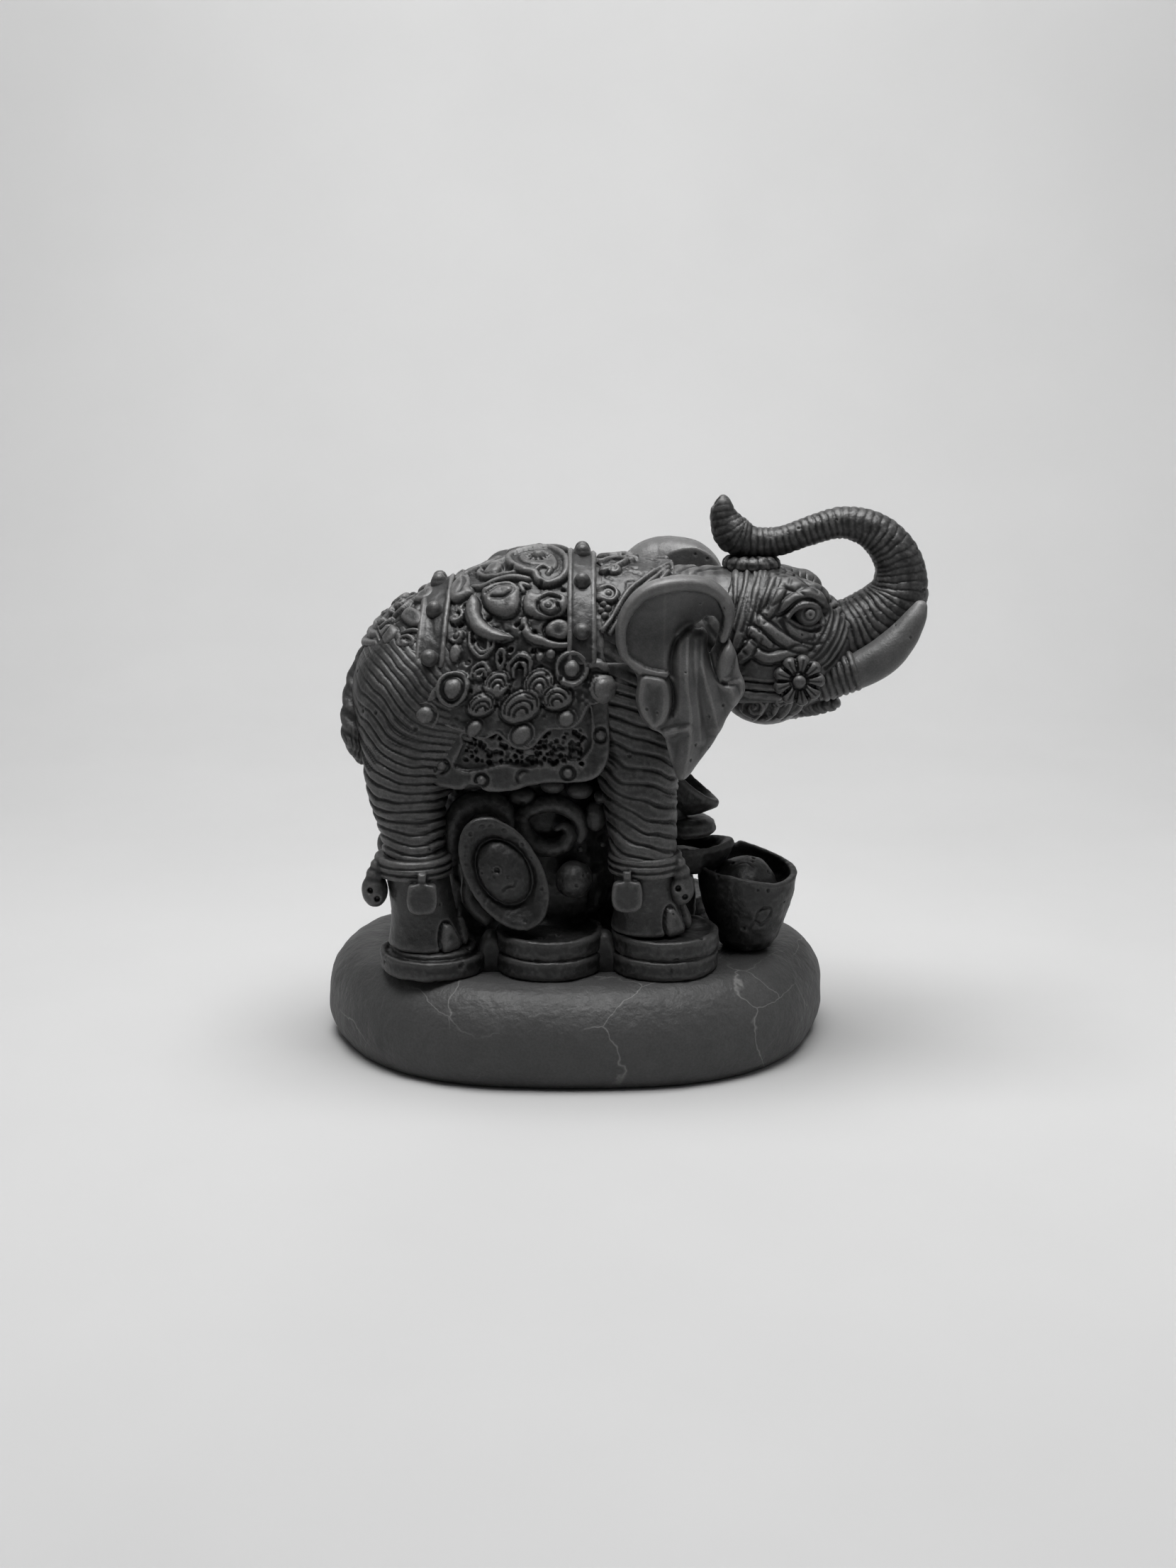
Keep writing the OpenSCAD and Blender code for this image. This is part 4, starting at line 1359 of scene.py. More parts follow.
def yoke_discs(c):
    """Big rolled bosses at the corners of the yoke and the small bosses along its hem."""
    for x, degrees, r, inner in (
        (-0.6, 7.5, 4.3, 2.1), (6.5, -3.0, 3.2, 2.3), (-28.6, 9.5, 4.2, 2.2), (-35.0, -3.5, 3.4, 2.1)
    ):
        at = on_back(x, degrees)
        c.pillow(c.disc(at, r), 1.2, 1.3)
        rim = c.disc(at, r - 0.7)
        c.ridge(np.vstack([rim[2:], rim[:1]]), 0.7, 1.7, 0.2, smooth=False)
        c.dome(at, inner, 1.9, 0.7)
        c.seam(c.disc(at, inner * 1.15), 0.35, 0.5)
    for cord in (backs((1.6, 7), (5.0, 9.5), (8.0, 6.5)), backs((-34.6, 3), (-32.4, 8.5), (-29.6, 13))):
        c.ridge(cord, 1.2, 1.1, 0.2)
    for x, z, r in ((-23.6, 86.0, 1.8), (-12.5, 84.6, 2.3), (-2.0, 88.5, 1.9)):
        at = hang(x, z)
        c.plate(c.disc(at, r * 1.4), 0.45, 0.6)
        c.dome(at, r, 1.5, 0.45)
        c.seam(c.disc(at, r * 1.14), 0.34, 0.4)


def cloud_head(c):
    """The lobed cloud head on the top of the back."""
    rim = loop(
        backs((-15.4, 84), (-15.0, 73), (-12.0, 64), (-9.4, 60), (-8.6, 55), (-6.6, 52), (-4.0, 55),
        (-2.3, 61), (-2.0, 68), (-2.6, 77), (-4.6, 85), (-7.2, 89.5), (-11.6, 89.5))
    )
    c.plate(rim, 0.8, 0.8)
    c.hoop(rim, 1.05, 1.9)
    c.seam(
        loop(backs((-13.4, 82), (-13.0, 74), (-10.6, 68), (-7.6, 66), (-5.2, 62), (-3.9, 67), (-4.4, 76),
        (-6.2, 83), (-9.8, 85))), 0.4, 0.5
    )
    c.ridge(backs((-9.6, 61), (-7.6, 64.5), (-5.8, 62.5), (-6.4, 58.5)), 0.75, 1.9, 0.2)
    boss = on_back(-8.7, 77)
    c.dome(boss, 1.4, 1.2, 0.9)
    for degrees in range(0, 360, 36):
        a = math.radians(degrees)
        c.pit((boss[0] + 2.5 * math.cos(a), boss[1] + 2.1 * math.sin(a)), 0.42, 0.8)


def saddle_scrolls(c):
    """Clouds, a crescent, leaves and curls on the saddle cloth between the girths."""
    cloud = loop(
        backs((-12.1, 42), (-11.8, 46.5), (-10.2, 48.5), (-8.4, 46.5), (-6.6, 48.5), (-4.8, 46.5), (-2.2, 46),
        (-1.4, 42), (-2.2, 36), (-4.8, 33.2), (-7.4, 32.6), (-9.8, 34.4), (-11.6, 37.5))
    )
    c.pillow(cloud, 1.7, 1.5)
    c.scroll(on_back(-6.3, 38.6), 2.3, 1.15, 150, -1.0, 0.8, 2.1, backs((-3.0, 44.5), (-6.2, 45.4)))
    c.groove(
        backs((-3.6, 43.0), (-6.4, 43.2), (-8.4, 40.5), (-8.0, 36.0), (-5.6, 34.4), (-3.6, 36.4),
        (-4.2, 39.4)), 0.45, 1.0, 0.2
    )
    c.ridge(backs((-11.9, 34), (-11.3, 28), (-8.8, 22.5), (-5.0, 19.6), (-1.4, 19.6)), 1.15, 1.5, 0.25)
    c.pillow(c.disc(on_back(-4.0, 27), 3.0, 0.9), 1.3, 1.2)
    c.groove(
        backs((-1.6, 33.4), (-4.6, 33.0), (-7.0, 28.4), (-6.4, 23.4), (-3.6, 21.6), (-1.2, 22.0)), 0.42, 1.2,
        0.1
    )
    crescent = loop(
        backs((-23.8, 58.5), (-25.8, 52), (-25.8, 45), (-24.0, 36.5), (-20.4, 29.5), (-16.6, 26.5),
        (-14.4, 27.0), (-17.2, 32.0), (-20.2, 37.5), (-22.0, 45), (-22.3, 53))
    )
    c.pillow(crescent, 2.3, 1.5)
    leaf = loop(
        backs((-30.2, 67), (-29.4, 76), (-27.2, 84), (-25.4, 79), (-24.6, 68), (-24.0, 61), (-26.8, 58.5),
        (-29.2, 60))
    )
    c.pillow(leaf, 1.7, 1.8)
    c.groove(backs((-26.6, 80), (-26.0, 72), (-27.2, 64)), 0.4, 0.6)
    lobe = loop(
        backs((-22.0, 58.5), (-19.8, 61), (-16.2, 60), (-13.6, 55.5), (-12.6, 47.5), (-13.2, 39.5),
        (-16.4, 38.5), (-19.6, 43.5), (-21.6, 51))
    )
    c.pillow(lobe, 2.3, 2.0)
    c.groove(
        backs((-20.2, 54.5), (-17.6, 57), (-14.6, 54.5), (-14.2, 50.5), (-16.4, 48.6), (-19.0, 50.6)), 0.5,
        0.8, 0.2
    )
    c.ridge(backs((-24.2, 66), (-21.6, 62.4), (-18.0, 63.0), (-14.4, 61.0), (-10.8, 57)), 1.0, 1.7, 0.3)
    c.pillow(loop(backs((-21.6, 72), (-20.6, 80), (-17.8, 81), (-17.0, 74), (-18.8, 69))), 1.7, 1.4)
    c.ridge(backs((-23.0, 84), (-22.8, 77), (-20.6, 70), (-16.4, 66.5), (-13.2, 65)), 0.9, 1.3, 0.3)
    c.ridge(backs((-28.8, 87), (-24.6, 88), (-20.0, 86), (-16.6, 88)), 1.0, 1.3, 0.3)
    c.scroll(on_back(-28.0, 48.5), 1.9, 0.9, 70, -1.0, 0.75, 1.5)
    c.scroll(on_back(-27.6, 37.5), 1.6, 0.9, 200, 1.0, 0.65, 1.2)
    c.pillow(loop(backs((-29.2, 32), (-27.6, 33), (-26.6, 28), (-28.0, 23), (-29.4, 26))), 1.1, 0.9)
    for k in (0.0, 1.0):
        w, drop = 2.9 - 1.3 * k, 2.5 * k
        c.ridge(
            backs((-21.8 - w, 37 - drop), (-21.8 - w * 0.9, 29), (-21.8, 22 + drop), (-21.8 + w * 0.9, 25),
            (-21.8 + w, 30)), 0.6, 1.1, 0.2
        )
        w = 2.5 - 1.1 * k
        c.ridge(
            backs((-12.9 - w, 8), (-12.9 - w, 14 - drop), (-12.9, 17.5 - 1.6 * drop), (-12.9 + w, 14 - drop),
            (-12.9 + w, 7)), 0.6, 1.1, 0.1
        )
        w = 2.4 - 1.0 * k
        c.ridge(
            backs((-22.0 - w, 13), (-22.0 - w * 0.7, 17.5 - drop), (-21.4, 18.8 - 1.4 * drop),
            (-22.0 + w, 12)), 0.6, 1.0, 0.1
        )
    c.ridge(
        backs((-18.2, 21), (-17.3, 23), (-16.4, 20.6), (-16.9, 14), (-17.8, 14), (-18.2, 21)), 0.55, 1.1, 0.0
    )
    c.ridge(backs((-12.0, 50), (-12.8, 55), (-10.8, 52.6)), 0.7, 1.2, 0.2)
    spots = (
        (-17.3, 17.5), (-20.2, 41.5), (-12.9, 12.5), (-9.4, 26.5), (-13.6, 33.5), (-8.0, 51.5), (-2.6, 50.5),
        (-27.0, 43.5), (-23.6, 31.5), (-15.0, 21.5), (-25.2, 21.5), (-9.6, 17.6), (-22.4, 13.2), (-14.8, 68),
        (-12.2, 30), (-26.2, 55.5)
    )
    for x, degrees in spots:
        c.pit(on_back(x, degrees), 0.6, 1.1)


def pitted_ground(skin, weight, seed, depth=0.5):
    """The rough sunk ground between raised ornaments."""
    ground = weight * (skin.up < 0.25)
    lumps = noise(skin.points, 1.7, seed) + 0.6 * noise(skin.points, 0.9, seed + 2)
    skin.down -= ground * depth * smooth_step(lumps)


def build_saddle():
    lo, hi = ends("saddle_cloth")
    x0, x1 = -38.2, hi[0]
    clay = Clay((x0 - 0.6, lo[1] - 3.0, 79.5), (x1 + 0.6, hi[1] + 3.0, hi[2] + 2.4), 0.36)
    _, x, y, z = clay.window()
    d = drape_form()(x, y, z)
    lower = smooth_step((101.0 - z) / 8.0)
    lift = 1.0 + 1.5 * lower
    clay.d = smooth_max(d - lift, -(d + 0.7), 0.5)
    edge = outline_distance(*side_grid(x, z), yoke_outline())[:, None, :]
    skin = clay.trim(edge + 0 * y, 0.9).mesh()
    weight = outer_weight(skin, drape_form(), 1.0)

    for c in side_charts(skin, weight):
        cloud_head(c)
        saddle_scrolls(c)
        fish_scales(c)
        yoke_discs(c)
        front, rear = [(7.6, 97.5), (8.0, 93.2)], [(-36.4, 87.4), (-37.4, 90.4), (-36.0, 94.0), (-37.0, 97.5)]
        c.ridge(hangs(*front, *SCALLOPS, *rear), 0.5, 0.35)
    pitted_ground(skin, weight, 62, 0.3)
    skin.chase()
    rough_cast(skin, 0.06, 1.5, 63)
    set_piece("saddle_cloth", skin, "cast_harness")


def yoke_outline():
    """The saddle cloth in side view, from its front edge over the back and round its scalloped hem."""
    top = back_top + 6.0
    hem = [(8.6, 96.5), (8.2, 93.6), *SCALLOPS]
    hem += [(-36.0, 86.8), (-37.8, 89.4), (-37.2, 93.0), (-34.0, 95.2), (-32.6, 98.0)]
    return np.array([(7.0, top), (7.0, 103.0)] + [tuple(p) for p in curve(hem, 3)] + [(-31.4, top)])


def build_skirts():
    lo, hi = ends("skirt_right")
    hem = [
        (-30.3, 84.6), (-31.2, 81.4), (-33.2, 78.4), (-35.0, 75.6), (-35.6, 73.0), (-34.4, 71.4),
        (-31.0, 70.6), (-27.0, 70.4), (-25.2, 71.6), (-23.0, 71.4), (-21.0, 70.2), (-18.0, 70.0),
        (-14.0, 70.4), (-10.0, 71.6), (-6.0, 72.2), (-1.6, 72.3), (2.6, 72.7), (5.2, 73.6), (7.2, 76.0),
        (8.3, 79.2), (8.3, 85.0), (8.0, 92.5),
    ]
    outline = np.vstack([curve(hem, 4), [(8.0, 97.0), (-31.0, 97.0)]])
    clay = Clay(lo - (1.2, 1.2, 1.4), (hi[0] + 1.2, -17.0, 98.0), 0.34)
    _, x, y, z = clay.window()
    d = drape_form()(x, y, z)
    swing = 0.9 * np.sin(x * 0.23 + 0.6) * smooth_step((82 - z) / 12.0)
    clay.d = smooth_max(d - 1.0 - swing, -(d + 3.6), 1.0)
    edge = outline_distance(*side_grid(x, z), outline)[:, None, :]
    skin = clay.trim(edge + 0 * y, 1.2).mesh()
    weight = outer_weight(skin, drape_form(), 0.9) * (skin.points[:, 1] < 0)
    c = side_chart(skin, weight)
    field = [
        (-28.8, 76.2), (-27.4, 79.4), (-25.8, 82.4), (-22, 85), (-12, 86), (0, 86.5), (3.4, 91.0),
        (4.2, 86.0), (4.2, 82.4), (3.4, 80.2), (1.8, 78.4), (-0.4, 77.6), (-2.2, 78.3), (-5.2, 78.3),
        (-7.8, 77.2), (-10.0, 76.2), (-13.2, 76.4), (-17.0, 76.8), (-20.0, 76.1), (-23.0, 75.3),
        (-26.2, 75.0),
    ]
    border = curve([field[0]] + field[:6:-1] + [(3.6, 91.0)])
    field = loop(field, 4)
    c.hollow(field, 0.95, 0.5)
    c.pebbled(field, 120, 71, (0.35, 0.8), 0.9)
    rng = np.random.default_rng(74)
    for _ in range(150):
        c.pit((rng.uniform(-26, 3), rng.uniform(77.0, 85.0)), rng.uniform(0.42, 0.85), rng.uniform(1.5, 2.4))
    c.ridge(border, 0.55, 0.35, 0.0, smooth=False)
    for x, z, r in (
        (-31.8, 76.2, 1.6), (-22.2, 73.1, 1.5), (-12.0, 73.8, 1.7), (-1.6, 74.8, 1.6), (6.2, 83.9, 1.6)
    ):
        c.ringed_stud((x, z), r, 0.9)
    skin.chase()
    rough_cast(skin, 0.06, 1.6, 72)
    pinholes(skin, 14, 73, (0.2, 0.35), 0.35)
    set_pair("skirt", skin, "cast_harness")


def rump_hem(x):
    """Height of the rump cloth's hem: a peak over the thigh, lower towards the girth and the tail."""
    return np.interp(
        x, (-56.0, -53.5, -50.5, -47.4, -45.0, -42.0, -38.0, -30.0),
        (98.0, 100.5, 102.0, 102.8, 99.4, 97.0, 96.8, 97.6)
    )


def build_rump_cloth():
    lo, hi = ends("rump_cloth")
    clay = Clay(lo - (1.6, 1.6, 9.0), (-30.0, hi[1] + 1.6, hi[2] + 1.8), 0.34)
    _, x, y, z = clay.window()
    d = barrel_form()(x, y, z)
    clay.d = smooth_max(d - 1.15, -(d + 0.5), 0.5)
    clay.trim((rump_hem(x) - z) * 0.8 + 0 * y, 0.6)
    skin = cloth_region(clay, lo[0] - 9, -31.0).mesh()
    weight = outer_weight(skin, barrel_form(), 1.1)
    from_hem = skin.points[:, 2] - rump_hem(skin.points[:, 0])
    bands = creases(from_hem / 1.75, 0.8) * smooth_step((5.2 - from_hem) / 0.8)
    for c in side_charts(skin, weight):
        c.scroll(on_back(-40.3, 38), 2.4, 0.95, 330, 1.0, 0.8, 1.5)
        c.dome(on_back(-39.8, 36.5), 1.0, 1.7)
        leaf = loop(backs((-47.4, 45), (-46.8, 54), (-44.4, 58.5), (-42.2, 50), (-43.2, 42), (-45.6, 39.5)))
        c.pillow(leaf, 1.4, 1.3)
        c.groove(backs((-46.4, 46), (-44.8, 51), (-43.8, 55)), 0.35, 0.6)
        c.pillow(
            loop(backs((-41.6, 60), (-39.6, 50), (-36.8, 47), (-35.4, 53), (-37.4, 61), (-39.6, 66))), 1.3,
            1.3
        )
        c.scroll(on_back(-42.4, 76), 2.3, 1.1, 220, -1.0, 0.8, 1.4)
        c.pillow(loop(backs((-38.8, 72), (-37.2, 82), (-34.4, 84), (-33.6, 74), (-35.8, 68))), 1.3, 1.3)
        c.scroll(on_back(-46.8, 70), 1.9, 1.0, 90, 1.0, 0.75, 1.3)
        c.scroll(on_back(-50.0, 56), 1.7, 1.0, 90, 1.0, 0.7, 1.2)
        for line in (
            backs((-36.0, 42), (-37.8, 45), (-41.0, 46)), backs((-43.4, 66), (-41.0, 69), (-39.6, 75)),
            backs((-48.6, 62), (-46.4, 61), (-44.0, 64)),
            backs((-36, 29), (-38.4, 31), (-42, 32), (-45.4, 38.5))
        ):
            c.ridge(line, 0.75, 1.2, 0.3)
    skin.up = np.maximum(skin.up * (from_hem > 4.6), bands * 0.9 * weight)
    pitted_ground(skin, weight * (from_hem > 5.0), 64, 0.3)
    skin.chase()
    rough_cast(skin, 0.06, 1.5, 65)
    set_piece("rump_cloth", skin, "cast_harness")


def build_neck_cloth():
    lo, hi = ends("neck_cloth")
    clay = Clay(lo - (3.5, 1.5, 1.0), hi + (0.8, 1.5, 2.2), 0.34)
    _, x, y, z = clay.window()

    def body(x, y, z):
        return smooth_min(neck_form()(x, y, z), barrel_form()(x, y, z), 3.0)

    d = body(x, y, z)
    clay.d = smooth_max(d - 1.15, -(d + 0.5), 0.5).astype(np.float32)
    skin = cloth_region(clay, lo[0] - 3.0, hi[0]).mesh()
    weight = outer_weight(skin, body, 1.1)
    for c in side_charts(skin, weight):
        c.scroll(on_back(9.2, 68), 2.4, 1.1, 200, -1.0, 0.8, 1.5, backs((5.8, 78), (9.4, 84), (12.4, 78)))
        button = on_back(8.0, 49)
        c.pillow(c.disc(button, 2.3), 0.9, 1.0)
        c.hoop(c.disc(button, 2.1), 0.75, 1.5)
        c.dome(button, 0.9, 1.4)
        berries = on_back(7.0, 39)
        for dx, dy in ((-0.8, 0), (0.9, 0.6), (0.2, -1.4), (0.0, 1.6)):
            c.dome((berries[0] + dx, berries[1] + dy), 0.8, 1.1)
        c.scroll(on_back(13.4, 82), 2.0, 1.1, 30, 1.0, 0.75, 1.3)
        for k in range(3):
            c.ridge(
                backs((5.6 + k * 1.5, 24 - k * 2), (9.2 + k * 1.5, 36 - k * 2), (12.6 + k * 1.6, 51 - k * 2),
                (16.6 + k * 1.6, 62 - k * 1.5), (22.4, 78 - k * 4)), 0.75, 1.2, 0.1
            )
    pitted_ground(skin, weight, 66, 0.4)
    skin.chase()
    rough_cast(skin, 0.06, 1.5, 67)
    set_piece("neck_cloth", skin, "cast_harness")


# Each girth's lean backwards for each mm down, and its two edges at the height where the lean starts.
GIRTHS = {"girth_front": (0.0, -1.7, 5.2), "girth_rear": (0.085, -37.4, -30.2)}
LEAN_FROM = 108.0


def build_girths():
    for node, (lean, x0, x1) in GIRTHS.items():
        lo, hi = ends(node)
        clay = Clay((x0 - 3.8, lo[1] - 1.2, 95.0), (x1 + 3.8, hi[1] + 1.2, hi[2] + 1.6), 0.32)
        _, x, y, z = clay.window()
        d = barrel_form()(x, y, z)
        half = (x1 - x0) / 2
        across = np.abs(x - ((x0 + x1) / 2 + lean * (z - LEAN_FROM)))
        clay.d = smooth_max(smooth_max(d - 2.15, -(d - 0.4), 0.4), across - half + 0 * y, 0.4)
        foot = 100.0 if lean else 101.0
        skin = clay.trim(foot - z + 0 * x + 0 * y, 0.6).mesh()
        p = skin.points
        weight = outer_weight(skin, barrel_form(), 2.1)
        across = np.abs(p[:, 0] - ((x0 + x1) / 2 + lean * (p[:, 2] - LEAN_FROM)))
        lip = np.exp(-(((across - half + 0.7) / 0.45) ** 2))
        skin.push(0.35 * lip * weight - 0.12 * weight * smooth_step(noise(p, 2.0, 68) * 2))
        rough_cast(skin, 0.05, 1.6, 69)
        set_piece(node, skin, "cast_harness")


def build_studs():
    """Domed studs on both girths, each on its own low collar."""
    whole = None
    for x_mid, lean in ((1.8, 0.0), (-33.8, 0.085)):
        for side in (-1, 1):
            for degrees in (26, 55, 85):
                a = math.radians(degrees)
                zc, w, h = barrel_row(x_mid)
                spot = np.array([x_mid, side * (w + 2.1) * math.cos(a), zc + (h + 2.1) * math.sin(a)])
                spot[0] += lean * (spot[2] - LEAN_FROM)
                out = np.array([0, side * math.cos(a) / w, math.sin(a) / h])
                out /= np.linalg.norm(out)
                clay = Clay(spot - 4.2, spot + 4.2, 0.24)
                clay.add(egg(spot + out * 0.9, (1.75, 1.75, 1.75)))
                clay.add(egg(spot + out * 0.05, (2.1, 2.1, 2.1)))
                clay.cut(egg(spot - out * 4.4, (3.6, 3.6, 3.6)), 0.3)
                clay.cut(egg(spot + out * 1.0, (0.01, 0.01, 0.01)))
                skin = clay.mesh()
                whole = skin if whole is None else whole.joined(skin)
    rough_cast(whole, 0.04, 1.2, 70)
    set_piece("girth_studs", whole, "cast_harness")


# ---- treasure ----


def coin_profile(r, t):
    """Half the section of a coin with a thin raised lip round its top face and a soft lower edge."""
    return [
        (0.0, 0.0), (r - 0.5, 0.0), (r + 0.2, 0.6), (r + 0.4, 1.6), (r + 0.3, t - 1.6), (r + 0.4, t - 1.0),
        (r + 0.3, t - 0.4), (r - 0.1, t), (r - 0.9, t - 0.1), (r - 1.6, t - 0.5), (0.0, t - 0.45),
    ]


def coin_pile(node, count, seed, sole=0.0, neighbours=()):
    lo, hi = ends(node)
    x, y = COIN_X[node], (lo[1] + hi[1]) / 2
    r = (hi[1] - lo[1]) / 2
    t = (hi[2] - lo[2] - sole) / count
    rng = np.random.default_rng(seed)
    clay = Clay(lo - 1.6, hi + 1.6, 0.42)
    for i in range(count):
        dx, dy = rng.uniform(-0.35, 0.35, 2) * i
        clay.add(lathe(coin_profile(r - 0.15 * i, t), (x + dx, y + dy, lo[2] + i * t), 3.0))
    if sole:
        top = [(0, 0), (r - 2.4, 0), (r - 2.6, t + sole - 0.4), (r - 3.2, t + sole), (0, t + sole)]
        clay.add(lathe(top, (x, y, lo[2]), 3.0), 0.5)
    for nx in neighbours:
        clay.cut(lathe([(0, -5), (r - 0.2, -5), (r - 0.2, 40), (0, 40)], (nx, y, lo[2]), 3.0))
    skin = clay.mesh()
    rough_cast(skin, 0.16, 3.0, seed)
    rough_cast(skin, 0.07, 0.9, seed + 1)
    pinholes(skin, 22, seed + 2, (0.3, 0.6), 0.6)
    return skin


COIN_X = {
    "coins_front_right": high("coins_front_right")[0] - (
        high("coins_front_right")[1] - low("coins_front_right")[1]
    ) / 2,
    "coins_rear_right": low("coins_rear_right")[0] + (
        high("coins_rear_right")[1] - low("coins_rear_right")[1]
    ) / 2,
}
COIN_X["coins_middle_right"] = (COIN_X["coins_front_right"] + COIN_X["coins_rear_right"]) / 2


def build_coins():
    front, middle, rear = "coins_front_right", "coins_middle_right", "coins_rear_right"
    set_pair("coins_front", coin_pile(front, 2, 81), "cast_treasure")
    set_pair("coins_middle", coin_pile(middle, 2, 84, 0.0, (COIN_X[front], COIN_X[rear])), "cast_treasure")
    set_pair("coins_rear", coin_pile(rear, 1, 87, 1.0), "cast_treasure")


def boat_height(a, b, half_a, half_b, thick, dome_a, dome_b, dome_h):
    """Height of a shoe-shaped ingot's face: a dished oval rim round an oval dome."""
    rho = np.sqrt((a / half_a) ** 2 + (b / half_b) ** 2)
    rise = 1.0 + 0.45 * (a / half_a) ** 2
    dish = thick * (0.46 + 0.54 * smooth_step((rho - 0.42) / 0.5) * rise)
    dish = dish - 1.3 * smooth_step((rho - 0.95) / 0.1)
    core = np.sqrt((a / dome_a) ** 2 + (b / dome_b) ** 2)
    dome = thick * 0.40 + dome_h * np.sqrt(np.clip(1.0 - core**2, 0.0, None)) ** 0.8
    ditch = -0.5 * np.exp(-(((core - 1.06) / 0.09) ** 2))
    return np.where(core < 1.0, np.maximum(dome, dish), dish + ditch), rho


def boat_form(half_a, half_b, thick, dome_a, dome_b, dome_h):
    def distance(a, b, c):
        face, rho = boat_height(a, b, half_a, half_b, thick, dome_a, dome_b, dome_h)
        swell = np.clip(c / thick, 0.0, 1.0)
        wide = 0.62 + 0.38 * np.sqrt(swell)
        side = (rho / wide - 1.0) * min(half_a, half_b) * 0.85
        return smooth_max(smooth_max((c - face) * 0.85, side, 1.0), -c - 0.2, 1.0)

    return distance


def build_side_ingots():
    mid = np.array((-17.2, -21.6, 50.0))
    tilt = math.radians(61)
    along = np.array((-math.cos(tilt), 0.0, math.sin(tilt)))
    out = np.array((0.0, -math.cos(math.radians(7)), math.sin(math.radians(7))))
    out -= along * np.dot(out, along)
    out /= np.linalg.norm(out)
    wide = np.cross(out, along)
    clay = Clay((mid[0] - 15, mid[1] - 9.5, mid[2] - 17), (mid[0] + 15, mid[1] + 6.5, mid[2] + 17.5), 0.3)
    skin = clay.add(turned([along, wide, out], mid, boat_form(15.6, 9.4, 4.2, 8.4, 6.0, 3.6))).mesh()
    p = skin.points - mid
    face = smooth_step((skin.normals() @ out - 0.2) / 0.4)
    chart = Chart(skin, p @ along, p @ wide, face)
    bubble = (1.8, 0.9)
    chart.pit(bubble, 0.75, 0.55)
    chart.hoop(chart.disc(bubble, 0.9), 0.35, 0.3)
    chart.groove([(-3.4, 2.2), (-3.0, 0.8), (-3.6, -0.6), (-2.8, -1.8)], 0.28, 0.5, 0.3)
    rng = np.random.default_rng(91)
    for _ in range(9):
        chart.pit((rng.normal(0.6, 2.6), rng.normal(0.8, 2.0)), rng.uniform(0.2, 0.32), rng.uniform(0.2, 0.4))
    for _ in range(16):
        a = rng.uniform(0, 2 * math.pi)
        chart.pit((13.0 * math.cos(a), 7.6 * math.sin(a)), rng.uniform(0.25, 0.6), rng.uniform(0.15, 0.4))
    skin.chase()
    rough_cast(skin, 0.12, 2.6, 92)
    rough_cast(skin, 0.05, 0.9, 93)
    set_pair("side_ingot", skin, "cast_treasure")


def build_pearls():
    c = centre("pearl_right")
    r = (high("pearl_right")[2] - low("pearl_right")[2]) / 2
    c = np.array((c[0] + 0.3, c[1] - 1.0, c[2] + 0.3))
    clay = Clay(c - r - 1.2, c + r + 1.2, 0.3)
    skin = clay.add(egg(c, (r, r, r))).mesh()
    rough_cast(skin, 0.12, 2.4, 95)
    rough_cast(skin, 0.05, 0.8, 96)
    pinholes(skin, 12, 97, (0.25, 0.45), 0.4)
    set_pair("pearl", skin, "cast_treasure")


def build_back_pearl():
    lo, hi = ends("back_pearl")
    r = 8.0
    c = np.array(((lo[0] + hi[0]) / 2, hi[1] - r, hi[2] - r))
    clay = Clay((c[0] - r - 1, c[1] - r - 1, c[2] - 2), c + r + 1.2, 0.36)
    skin = clay.add(egg(c, (r, r, r))).mesh()
    rough_cast(skin, 0.1, 3.0, 98)
    pinholes(skin, 10, 99)
    set_piece("back_pearl", skin, "cast_treasure")


